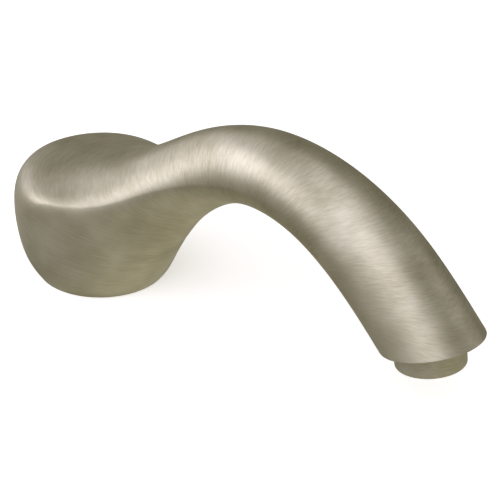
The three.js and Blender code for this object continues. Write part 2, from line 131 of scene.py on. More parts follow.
@dataclass
class Surface:
    """A closed surface of equal rings.

    Attributes:
        rings: points in millimetres, as (ring, place round it, xyz).
        ends: how the rings are closed.
        slant: millimetres added to each point's distance along the outline, to turn the lay of its lines.
    """

    rings: Array
    ends: Ends = Ends.LOOP
    slant: Array | float = 0.0

    def along(self) -> Array:
        """Distance along the outline to each ring and to one past the last: the mean steps, added up."""
        following = np.roll(self.rings, -1, axis=0)
        steps = np.linalg.norm(following - self.rings, axis=2).mean(1)
        return np.concatenate([[0.0], np.cumsum(steps)])

    def mesh_data(self) -> tuple[Array, list[list[int]], Array]:
        """Works out the mesh, with its faces outwards.

        Returns:
            The vertices, the faces as vertex numbers, and the lay coordinates of every face corner in turn.
        """
        rows, columns = self.rings.shape[:2]
        strips = rows if self.ends is Ends.LOOP else rows - 1
        i, j = np.meshgrid(np.arange(strips), np.arange(columns), indexing="ij")
        low, high = i * columns, (i + 1) % rows * columns
        left, right = j, (j + 1) % columns
        quads = np.stack([low + left, low + right, high + right, high + left], -1).reshape(-1, 4)
        along = self.along() * MM
        slant = np.broadcast_to(np.asarray(self.slant, float) * MM, (rows, columns)).ravel()
        rise = np.stack([along[i], along[i], along[i + 1], along[i + 1]], -1).reshape(-1, 4) + slant[quads]
        turn = np.stack([j, j + 1, j + 1, j], -1).reshape(-1, 4) / columns
        vertices = self.rings.reshape(-1, 3)
        groups, lays = [quads], [np.stack([turn, rise], -1)]
        if self.ends is Ends.FAN:
            vertices = np.concatenate([vertices, self.rings[[0, -1]].mean(1)])
            for ring, middle, order in ((0, rows * columns, -1), (rows - 1, rows * columns + 1, 1)):
                fan, lay = self.fan(ring, middle, vertices[middle], along[ring])
                groups.append(fan[:, ::order])
                lays.append(lay[:, ::order])
        if sum(signed_volume(vertices[group]) for group in groups) < 0:
            groups, lays = [group[:, ::-1] for group in groups], [lay[:, ::-1] for lay in lays]
        faces = [face for group in groups for face in group.tolist()]
        return vertices, faces, np.concatenate([lay.reshape(-1, 2) for lay in lays])

    def fan(self, ring: int, middle: int, point: Array, along: float) -> tuple[Array, Array]:
        """Triangles that close a ring to its middle.

        Args:
            ring: the ring's number.
            middle: the middle's vertex number.
            point: where the middle is.
            along: metres along the outline to the ring.

        Returns:
            The triangles as vertex numbers, and the lay coordinates of their corners.
        """
        columns = self.rings.shape[1]
        around = np.arange(columns)
        edge = ring * columns + around
        triangles = np.stack([np.full(columns, middle), edge, np.roll(edge, -1)], -1)
        turns = np.stack([around + 0.5, around, around + 1], -1) / columns
        rises = np.tile(along, (columns, 3))
        rises[:, 0] += np.linalg.norm(self.rings[ring] - point, axis=1).mean() * MM
        return triangles, np.stack([turns, rises], -1)


def signed_volume(corners: Array) -> float:
    """Volume between flat faces and the origin, positive where they face away from it.

    Each face is cut into triangles from its first corner. A triangle's share is its triple product over six.

    Args:
        corners: points as (face, corner, xyz).

    Returns:
        The volume, in cubic millimetres.
    """
    first = corners[:, 0]
    pairs = [(corners[:, i], corners[:, i + 1]) for i in range(1, corners.shape[1] - 1)]
    return sum(float(np.einsum("ij,ij->", first, np.cross(here, ahead))) for here, ahead in pairs) / 6


def filleted(outline: Array, radius: float | Sequence[float], closed: bool = True, steps: int = 4) -> Array:
    """Rounds the corners of an outline, whose points may themselves be whole rings.

    A corner C becomes the parabola (1-s)(1-s)A + 2s(1-s)C + ssB, where A and B lie on its two sides at the
    radius from C, or at 0.4 of the side where that is less. A point beyond A and one beyond B keep the sides
    flat.

    Args:
        outline: points along the first axis.
        radius: one radius for every corner, or one for each.
        closed: whether the last point joins the first; if not, the end points stay as they are.
        steps: pieces in each rounded corner.

    Returns:
        The outline with its corners rounded.
    """
    outline = np.asarray(outline, float)
    before = np.roll(outline, 1, 0) - outline
    after = np.roll(outline, -1, 0) - outline
    reaches = np.broadcast_to(np.asarray(radius, float), len(outline))
    reaches = reaches.reshape((-1,) + (1,) * (outline.ndim - 1))
    length_before = np.maximum(np.linalg.norm(before, axis=-1, keepdims=True), 1e-9)
    length_after = np.maximum(np.linalg.norm(after, axis=-1, keepdims=True), 1e-9)
    reach = np.minimum(reaches, 0.4 * np.minimum(length_before, length_after))
    start = outline + before / length_before * reach
    end = outline + after / length_after * reach
    shares = np.linspace(0, 1, steps + 1)
    curve = [(1 - s) ** 2 * start + 2 * s * (1 - s) * outline + s**2 * end for s in shares]
    holding_start = outline + before / length_before * reach * 1.2
    holding_end = outline + after / length_after * reach * 1.2
    rounded = np.stack([holding_start, *curve, holding_end], 1)
    if closed:
        return rounded.reshape(-1, *outline.shape[1:])
    inside = rounded[1:-1].reshape(-1, *outline.shape[1:])
    return np.concatenate([outline[:1], inside, outline[-1:]])


def spline(values: Array, at: Array) -> Array:
    """Uniform cubic B-spline through control values, mirrored past both ends so that it meets the end values.

    Args:
        values: control values along the first axis.
        at: places from 0 to the number of values less one.

    Returns:
        The value at each place.
    """
    last = len(values) - 1
    padded = np.concatenate([2 * values[:1] - values[1:2], values, 2 * values[-1:] - values[-2:-1]])
    i = np.minimum(np.floor(at).astype(int), last - 1)
    t = at - i
    weights = np.stack([(1 - t) ** 3, 3 * t**3 - 6 * t**2 + 4, -3 * t**3 + 3 * t**2 + 3 * t + 1, t**3], -1) / 6
    return np.einsum("nk,nk...->n...", weights, padded[i[:, None] + np.arange(4)])


def eased(share: Array) -> Array:
    """A share held between 0 and 1, with a level start and end."""
    held = np.clip(share, 0, 1)
    return held**2 * (3 - 2 * held)


def hexagon(angles: Array, flats: float, firmness: int = 44) -> Array:
    """Radius of a hexagon with slightly rounded corners, its corners at 0, 60, 120 degrees and so on.

    It is half the flats over the power sum of the cosines of the angles from the three pairs of flats.

    Args:
        angles: where round the hexagon, in radians.
        flats: its size across flats.
        firmness: the power; the higher, the sharper the corners.

    Returns:
        The radius at each angle.
    """
    normals = math.pi / 6 + np.arange(3) * math.pi / 3
    cosines = np.abs(np.cos(angles[:, None] - normals))
    return flats / 2 / (cosines**firmness).sum(1) ** (1 / firmness)


@dataclass
class Lathe:
    """Rings about an own +Z axis, gathered stretch by stretch along an outline.

    Attributes:
        sides: points in each ring.
        radii: the radius round each ring.
        heights: the height of each ring.
    """

    sides: int = 96
    radii: list[Array] = field(default_factory=list)
    heights: list[Array] = field(default_factory=list)

    def angles(self) -> Array:
        """Angles of the points in a ring."""
        return np.arange(self.sides) * TURN / self.sides

    def plain(self, outline: Sequence[tuple[float, float]], fillet: float = 0.3) -> Lathe:
        """Adds round rings along an open outline of (radius, height) points, with its corners rounded."""
        points = filleted(np.array(outline), fillet, closed=False)
        self.radii.append(np.repeat(points[:, :1], self.sides, 1))
        self.heights.append(points[:, 1])
        return self

    def thread(self, crest: float, root: float, start: float, end: float, pitch: float) -> Lathe:
        """Adds a right-hand screw thread.

        The radius goes from root to crest as a flattened triangle wave of height over pitch less turns round,
        and dies away to the root over one pitch at both ends.

        Args:
            crest: radius of the thread's tops; less than root for a thread inside a nut.
            root: radius of its bottoms.
            start: height where it begins.
            end: height where it ends.
            pitch: rise in one turn.

        Returns:
            The lathe.
        """
        rows = max(4, round(abs(end - start) / pitch * 8))
        heights = np.linspace(start, end, rows + 1)[1:-1]
        phase = (heights[:, None] / pitch - self.angles() / TURN) % 1
        wave = np.clip(1.4 * (1 - np.abs(2 * phase - 1)) - 0.2, 0, 1)
        nearest = np.minimum(np.abs(heights - start), np.abs(heights - end))
        fade = np.clip(nearest / pitch, 0, 1)[:, None]
        self.radii.append(root + (crest - root) * wave * fade)
        self.heights.append(heights)
        return self

    def hexagon(self, flats: float, low: float, high: float, face: float) -> Lathe:
        """Adds a nut's six flats, chamfered at 30 degrees by cones that leave its end faces at radius face."""
        depth = min((flats / math.sqrt(3) - face) * math.tan(math.pi / 6) * 1.15, abs(high - low) * 0.49)
        near = np.linspace(0, depth, 9)
        turned_round = 1 if high > low else -1
        heights = np.concatenate([low + turned_round * near, high - turned_round * near[::-1]])
        from_face = np.minimum(np.abs(heights - low), np.abs(heights - high))
        cone = (face + from_face / math.tan(math.pi / 6))[:, None]
        six = hexagon(self.angles(), flats)[None, :]
        power = 50
        self.radii.append((cone**-power + six**-power) ** (-1 / power))
        self.heights.append(heights)
        return self

    def socket(self, flats: float, mouth: float, bottom: float) -> Lathe:
        """Adds a six-sided key socket from its mouth to its bottom."""
        six = hexagon(self.angles(), flats)
        heights = np.array([mouth, mouth + 0.08 * (bottom - mouth), bottom])
        self.radii.append(np.stack([six * 1.06, six, six]))
        self.heights.append(heights)
        return self

    def dented(self, count: int, depth: float) -> Lathe:
        """Presses shallow dents, spaced evenly round, into the rings added last."""
        wave = (0.5 + 0.5 * np.cos(count * self.angles())) ** 4
        radii = self.radii[-1]
        outside = radii > radii.mean()
        self.radii[-1] = np.where(outside, radii - depth * wave, radii)
        return self

    def surface(self, place: Place = UPRIGHT, ends: Ends = Ends.LOOP) -> Surface:
        """The gathered rings as a closed surface in their place."""
        radii, heights = np.concatenate(self.radii), np.concatenate(self.heights)
        angles = self.angles()
        height = np.repeat(heights[:, None], self.sides, 1)
        return Surface(place.put(np.stack([radii * np.cos(angles), radii * np.sin(angles), height], -1)), ends)


def turned(outline: Sequence[tuple[float, float]], fillet: float, place: Place = UPRIGHT) -> Surface:
    """A ring turned from a closed outline of (radius, height) points, with its corners rounded."""
    points = filleted(np.array(outline), fillet)
    lathe = Lathe()
    lathe.radii.append(np.repeat(points[:, :1], lathe.sides, 1))
    lathe.heights.append(points[:, 1])
    return lathe.surface(place)


def washer(
    inner: float, outer: float, low: float, high: float, fillet: float, place: Place = UPRIGHT
) -> Surface:
    """A flat ring with rounded edges."""
    return turned([(inner, low), (outer, low), (outer, high), (inner, high)], fillet, place)


def o_ring(middle: float, section: float, level: float) -> Surface:
    """A ring of round section: each point is the middle radius plus the section's own circle."""
    around = np.arange(20) * TURN / 20
    lathe = Lathe()
    radii = middle + section * np.cos(around)
    lathe.radii.append(np.repeat(radii[:, None], lathe.sides, 1))
    lathe.heights.append(level + section * np.sin(around))
    return lathe.surface()


def place_in_scene(name: str, data: bpy.types.ID) -> bpy.types.Object:
    """Makes an object of a mesh, light or camera, and adds it to the scene."""
    made = bpy.data.objects.new(name, data)
    bpy.context.scene.collection.objects.link(made)
    return made


def make_object(name: str, surfaces: Sequence[Surface]) -> bpy.types.Object:
    """Makes one object of closed surfaces, at the origin, with its place in its mesh.

    Args:
        name: the object's name.
        surfaces: its surfaces, in millimetres.

    Returns:
        The object, in metres, smooth apart from its sharp edges, with its lay coordinates as a UV map.
    """
    vertices, faces, lays, count = [], [], [], 0
    for surface in surfaces:
        points, polygons, lay = surface.mesh_data()
        faces += [[count + vertex for vertex in polygon] for polygon in polygons]
        vertices.append(points * MM)
        lays.append(lay)
        count += len(points)
    mesh = bpy.data.meshes.new(name)
    mesh.from_pydata(np.concatenate(vertices).tolist(), [], faces)
    layer = mesh.uv_layers.new(name=LAY)
    layer.data.foreach_set("uv", np.concatenate(lays).astype(np.float32).ravel())
    finish_mesh(mesh)
    return place_in_scene(name, mesh)


def finish_mesh(mesh: bpy.types.Mesh) -> None:
    """Shades a mesh smooth apart from its sharp edges, and checks it."""
    mesh.polygons.foreach_set("use_smooth", np.ones(len(mesh.polygons), bool))
    mesh.set_sharp_from_angle(angle=SHARP)
    mesh.validate()
    mesh.update()


def combine(piece: bpy.types.Object, other: bpy.types.Object, operation: str) -> None:
    """Cuts or meets a piece with another, which is used up, and keeps the result as the piece's mesh.

    Args:
        piece: the piece that stays.
        other: the shape that cuts it.
        operation: DIFFERENCE or INTERSECT.
    """
    modifier = piece.modifiers.new("combine", "BOOLEAN")
    modifier.operation = operation
    modifier.solver = "EXACT"
    modifier.object = other
    bpy.context.view_layer.update()
    result = piece.evaluated_get(bpy.context.evaluated_depsgraph_get())
    piece.data = bpy.data.meshes.new_from_object(result)
    piece.modifiers.clear()
    bpy.data.objects.remove(other)
    finish_mesh(piece.data)


def absorb(piece: bpy.types.Object, other: bpy.types.Object) -> None:
    """Adds another object's mesh to a piece, as a shell of its own, and removes the other."""
    joined = bmesh.new()
    joined.from_mesh(piece.data)
    joined.from_mesh(other.data)
    joined.to_mesh(piece.data)
    joined.free()
    bpy.data.objects.remove(other)
    finish_mesh(piece.data)


# ---------------------------------------------------------------- finishes


def linear(hex_colour: str) -> tuple[float, float, float, float]:
    """Turns an sRGB hex colour into the linear one that shaders take."""
    parts = np.array([int(hex_colour[i : i + 2], 16) for i in (1, 3, 5)]) / 255
    values = np.where(parts <= 0.04045, parts / 12.92, ((parts + 0.055) / 1.055) ** 2.4)
    return (*values.tolist(), 1.0)


def add_node(tree: bpy.types.NodeTree, kind: str, inputs: dict[Any, Any] | None = None, **settings: Any) -> Any:
    """Adds a node with its settings and links.

    Args:
        tree: the node tree.
        kind: the node's type.
        inputs: for each input, by name or number, a value or the output that is linked to it.
        settings: the node's own settings.

    Returns:
        The node.
    """
    made = tree.nodes.new(kind)
    for setting, value in settings.items():
        setattr(made, setting, value)
    for key, value in (inputs or {}).items():
        if isinstance(value, bpy.types.NodeSocket):
            tree.links.new(value, made.inputs[key])
        else:
            made.inputs[key].default_value = value
    return made


def new_material(name: str) -> tuple[bpy.types.Material, bpy.types.NodeTree]:
    """Makes an empty node material."""
    material = bpy.data.materials.new(name)
    material.use_nodes = True
    material.node_tree.nodes.clear()
    return material, material.node_tree


def mixed(tree: bpy.types.NodeTree, share: float, first: Any, second: Any) -> bpy.types.NodeSocket:
    """Mixes two values, with this share of the second."""
    return add_node(tree, "ShaderNodeMix", {0: share, 2: first, 3: second}, data_type="FLOAT").outputs[0]


def tinted(tree: bpy.types.NodeTree, share: Any, dark: str, light: str) -> bpy.types.NodeSocket:
    """Mixes two sRGB hex colours by a share from 0 to 1."""
    tints = {0: share, 6: linear(dark), 7: linear(light)}
    return add_node(tree, "ShaderNodeMix", tints, data_type="RGBA").outputs[2]


def spread(
    tree: bpy.types.NodeTree, value: Any, low: float, high: float, start: float = 0.0, end: float = 1.0
) -> bpy.types.NodeSocket:
    """Maps a value from low to high on to start to end, and holds it there."""
    return add_node(tree, "ShaderNodeMapRange", {0: value, 1: low, 2: high, 3: start, 4: end}).outputs[0]


def dress_surface(tree: bpy.types.NodeTree, relief: Any, depth: float, inputs: dict[str, Any]) -> None:
    """Ends a material with its surface.

    Args:
        tree: the material's node tree.
        relief: height of its fine relief, from 0 to 1.
        depth: millimetres from the relief's bottom to its top.
        inputs: the other inputs of the surface.
    """
    bump = {"Height": relief, "Distance": depth * MM, "Strength": 1.0}
    normal = add_node(tree, "ShaderNodeBump", bump).outputs[0]
    shader = add_node(tree, "ShaderNodeBsdfPrincipled", {"Normal": normal, **inputs})
    add_node(tree, "ShaderNodeOutputMaterial", {0: shader.outputs[0]})


@dataclass(frozen=True)
class LineGrain:
    """Fine lines that run round a piece, from brushing or from a turning tool.

    The lines are drawn in a space of their own: the turn round the piece bent into a circle, so that they meet
    where it closes, and the distance along it divided by the line's width.

    Attributes:
        width: millimetres across a line.
        reach: how many times a line breaks up round the piece.
        detail: how many finer sets of lines lie in it.
    """

    width: float
    reach: float
    detail: float = 3.0

    def draw(self, tree: bpy.types.NodeTree) -> bpy.types.NodeSocket:
        """Adds the lines' nodes, and returns their value from 0 to 1."""
        lay = add_node(tree, "ShaderNodeUVMap", uv_map=LAY).outputs[0]
        split = add_node(tree, "ShaderNodeSeparateXYZ", {0: lay})
        whole_turns = {0: split.outputs[0], 1: TURN}
        angle = add_node(tree, "ShaderNodeMath", whole_turns, operation="MULTIPLY").outputs[0]
        east = add_node(tree, "ShaderNodeMath", {0: angle}, operation="COSINE").outputs[0]
        north = add_node(tree, "ShaderNodeMath", {0: angle}, operation="SINE").outputs[0]
        circle = add_node(tree, "ShaderNodeCombineXYZ", {0: east, 1: north, 2: split.outputs[1]}).outputs[0]
        stretch = {0: circle, 1: self.scale()}
        scaled = add_node(tree, "ShaderNodeVectorMath", stretch, operation="MULTIPLY").outputs[0]
        settings = {"Vector": scaled, "Scale": 1.0, "Detail": self.detail, "Roughness": 0.6}
        return add_node(tree, "ShaderNodeTexNoise", settings).outputs[0]

    def scale(self) -> tuple[float, float, float]:
        """Scale of the lines' own space: their reach round the piece, and lines to the metre along it."""
        return (self.reach, self.reach, 1 / (self.width * MM))


@dataclass(frozen=True)
class Metal:
    """A metal surface with fine lines and a slow change of tone.

    Attributes:
        name: what the metal is and how its surface was made.
        light: sRGB colour of the clean metal.
        dark: sRGB colour in its grooves and duller patches.
        roughness: of the surface between its lines.
        fine: the fine lines.
        broad: the broader lines among them.
        depth: millimetres from the top to the bottom of the lines.
        anisotropy: how far highlights are drawn out across the lines.
        patch: millimetres across a duller patch.
    """

    name: str
    light: str
    dark: str
    roughness: float
    fine: LineGrain
    broad: LineGrain
    depth: float
    anisotropy: float = 0.0
    patch: float = 14.0

    def material(self) -> bpy.types.Material:
        """Builds the material."""
        material, tree = new_material(self.name)
        fine, broad = self.fine.draw(tree), self.broad.draw(tree)
        lines = mixed(tree, 0.35, fine, broad)
        place = add_node(tree, "ShaderNodeTexCoord").outputs["Object"]
        size = {"Vector": place, "Scale": 1 / (self.patch * MM), "Detail": 2.0}
        patches = add_node(tree, "ShaderNodeTexNoise", size).outputs[0]
        clear = spread(tree, mixed(tree, 0.45, lines, patches), 0.36, 0.64)
        tangent = add_node(tree, "ShaderNodeTangent", direction_type="UV_MAP", uv_map=LAY).outputs[0]
        surface = {
            "Base Color": tinted(tree, clear, self.dark, self.light),
            "Metallic": 1.0,
            "Roughness": spread(tree, lines, 0.3, 0.7, self.roughness + 0.05, self.roughness - 0.05),
            "Anisotropic": self.anisotropy,
            "Anisotropic Rotation": 0.25,
            "Tangent": tangent,
        }
        dress_surface(tree, lines, self.depth, surface)
        return material


@dataclass(frozen=True)
class Moulded:
    """A moulded or pressed material that isn't metal.

    Attributes:
        name: what it is and how it was made.
        light: sRGB colour of most of it.
        dark: sRGB colour of its darker grain.
        roughness: of its skin.
        ior: index of refraction.
        grain: millimetres across its grain.
        depth: millimetres from the top to the bottom of the grain.
        scatter: share of light that goes in and comes out again.
        stretch: how much longer the grain is across the part than up it.
    """

    name: str
    light: str
    dark: str
    roughness: float
    ior: float
    grain: float
    depth: float
    scatter: float = 0.0
    stretch: float = 1.0

    def material(self) -> bpy.types.Material:
        """Builds the material."""
        material, tree = new_material(self.name)
        place = add_node(tree, "ShaderNodeTexCoord").outputs["Object"]
        frequency = 1 / (self.grain * MM)
        scale = (frequency / self.stretch, frequency / self.stretch, frequency)
        scaled = add_node(tree, "ShaderNodeVectorMath", {0: place, 1: scale}, operation="MULTIPLY").outputs[0]
        grain = add_node(tree, "ShaderNodeTexNoise", {"Vector": scaled, "Scale": 1.0, "Detail": 4.0}).outputs[0]
        slow = add_node(tree, "ShaderNodeTexNoise", {"Vector": scaled, "Scale": 0.11, "Detail": 2.0}).outputs[0]
        clear = spread(tree, mixed(tree, 0.5, grain, slow), 0.38, 0.62)
        surface = {
            "Base Color": tinted(tree, clear, self.dark, self.light),
            "Roughness": spread(tree, slow, 0.3, 0.7, self.roughness + 0.07, self.roughness - 0.07),
            "IOR": self.ior,
            "Subsurface Weight": self.scatter,
            "Subsurface Scale": 0.002,
        }
        dress_surface(tree, grain, self.depth, surface)
        return material


# Nickel plate over cast brass, brushed round the body with a fine belt and then lacquered: a soft, warm grey
# sheen with thin lines. Real belt lines are 0.05 to 0.2 mm wide; these are wider, so that they show at arm's
# length: 0.42 mm, among broader ones of 1.1 mm and duller patches of 18 mm.
BRUSHED_NICKEL = Metal(
    name="brushed_nickel_plate",
    light="#C9C4B0",
    dark="#A9A38B",
    roughness=0.5,
    fine=LineGrain(width=0.42, reach=5.0),
    broad=LineGrain(width=1.1, reach=2.4, detail=4.0),
    depth=0.03,
    anisotropy=0.3,
    patch=18.0,
)
# Brass turned on a lathe: yellow, with rings of tool marks 0.16 and 0.7 mm wide, and a little brown in 7 mm
# patches where hands and flux have dulled it.
TURNED_BRASS = Metal(
    name="turned_brass",
    light="#D8B56C",
    dark="#B58D48",
    roughness=0.3,
    fine=LineGrain(width=0.16, reach=0.5),
    broad=LineGrain(width=0.7, reach=0.3, detail=2.0),
    depth=0.006,
    anisotropy=0.4,
    patch=7.0,
)
# Stainless steel, rolled or turned and then tumbled: cool grey, with short faint lines 0.14 and 0.8 mm wide.
STAINLESS_STEEL = Metal(
    name="tumbled_stainless_steel",
    light="#CDCCC8",
    dark="#B4B4B2",
    roughness=0.32,
    fine=LineGrain(width=0.14, reach=3.0),
    broad=LineGrain(width=0.8, reach=2.0, detail=2.0),
    depth=0.004,
    patch=5.0,
)
# EPDM rubber, compression moulded: black with a grey bloom and a dry, slightly grainy skin, 0.35 mm grain.
EPDM_RUBBER = Moulded("moulded_epdm_rubber", "#2B2B2C", "#1A1A1B", 0.72, 1.5, grain=0.35, depth=0.02)
# Acetal, injection moulded: opaque milk white, waxy, with the mould's spark-eroded texture, 0.3 mm grain.
WHITE_ACETAL = Moulded(
    "moulded_white_acetal", "#ECEAE3", "#E2DFD5", 0.42, 1.48, grain=0.3, depth=0.008, scatter=0.12
)
# Natural nylon, turned from rod: cream and a little translucent, with 0.25 mm grain.
NATURAL_NYLON = Moulded(
    "turned_natural_nylon", "#E0D9C4", "#D3CAB1", 0.48, 1.53, grain=0.25, depth=0.008, scatter=0.2
)
# Cross-linked polyethylene pipe, extruded: cloudy white, with a faint 0.6 mm grain.
PEX_PIPE = Moulded("extruded_pex_pipe", "#E4E7E4", "#D6DAD8", 0.38, 1.54, grain=0.6, depth=0.008, scatter=0.3)
# Vulcanised fibre, punched from sheet: dull red-brown paper layers that lie flat, 0.25 mm thick.
RED_FIBRE = Moulded(
    "vulcanised_red_fibre", "#84362A", "#6B271E", 0.82, 1.54, grain=0.25, depth=0.02, stretch=5.0
)


class Slot(Enum):
    """The model's material slots, each with its finish."""

    NICKEL = ("brushed_nickel", BRUSHED_NICKEL)
    BRASS = ("brass", TURNED_BRASS)
    STEEL = ("steel", STAINLESS_STEEL)
    RUBBER = ("rubber", EPDM_RUBBER)
    ACETAL = ("acetal", WHITE_ACETAL)
    NYLON = ("nylon", NATURAL_NYLON)
    PEX = ("pex", PEX_PIPE)
    FIBRE = ("fibre", RED_FIBRE)


@dataclass
class Workshop:
    """What every sub-assembly needs to finish its pieces.

    Attributes:
        frame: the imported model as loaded.
        materials: the materials made so far, by slot.
    """

    frame: dict[str, Any]
    materials: dict[Slot, bpy.types.Material] = field(default_factory=dict)

    def body_of(self, node: str) -> str:
        """Name of the body that a CAD node belongs to."""
        bodies = self.frame["record"]["behaviour"]["bodies"]
        return next(body for body, nodes in bodies.items() if node in nodes)

    def dress(self, piece: bpy.types.Object, slot: Slot) -> None:
        """Gives a piece the material of a slot."""
        if slot not in self.materials:
            self.materials[slot] = slot.value[1].material()
        piece.data.materials.clear()
        piece.data.materials.append(self.materials[slot])

    def fit(self, piece: bpy.types.Object, node: str, slot: Slot) -> bpy.types.Object:
        """Dresses a piece and puts it on its body in place of a CAD node.

        Args:
            piece: the finished piece.
            node: the CAD node that it stands for.
            slot: its material slot.

        Returns:
            The piece.
        """
        body = self.body_of(node)
        self.dress(piece, slot)
        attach(piece, body)
        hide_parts(node)
        LOG.info("%s: %d faces on %s, %s", piece.name, len(piece.data.polygons), body, slot.value[0])
        return piece

    def make(self, name: str, surfaces: Sequence[Surface], node: str, slot: Slot) -> bpy.types.Object:
        """Makes an object of closed surfaces and fits it in place of a CAD node."""
        return self.fit(make_object(name, surfaces), node, slot)

    def keep(self, node: str, slot: Slot) -> None:
        """Keeps a CAD node whose shape is right, and gives it its material."""
        self.dress(self.frame["nodes"][node], slot)
        LOG.info("%s: kept as it is, %s", node, slot.value[0])


# ---------------------------------------------------------------- body


# Control sections from the foot to the outlet, as (outer x, outer z, inner x, inner z, half width, place of the
# widest line from inner 0 to outer 1, fullness of the outer half, fullness of the inner half). A fullness of 2
# is an ellipse.
SECTIONS = np.array(
    [
        (-30, 0, 30, 0, 30, 0.5, 2, 2),
        (-39, 13, 32, 2.5, 36, 0.47, 1.95, 2),
        (-43.5, 33, 37, 11.5, 37.5, 0.5, 1.9, 2),
        (-41, 47.5, 43.5, 21.5, 38.5, 0.57, 1.85, 1.87),
        (-29, 57, 49, 30, 39, 0.7, 1.9, 1.8),
        (-10.5, 57.5, 52.5, 34, 36, 0.66, 1.9, 1.55),
        (13, 62.5, 56.5, 40, 29, 0.61, 1.9, 1.4),
        (37, 75.5, 64.5, 50.5, 21, 0.58, 1.85, 1.5),
        (63, 94, 79.5, 62.5, 17, 0.42, 1.8, 1.55),
        (97.5, 106.5, 100.5, 69.5, 18.2, 0.38, 2.1, 1.7),
        (138, 102.5, 127, 64, 19.7, 0.5, 2, 2),
        (180.5, 81.5, 151, 46, 21.3, 0.5, 2, 2),
        (216.5, 40, 170.5, 28.5, 23.2, 0.5, 2, 2),
    ]
)
SET_LEVEL = 12.0  # height of the set screw's axis
# The set screw's place: its own +Z points out of the foot's back.
BEHIND = Place(origin=(0, 0, SET_LEVEL), across=(0, 0, 1), up=(-1, 0, 0))


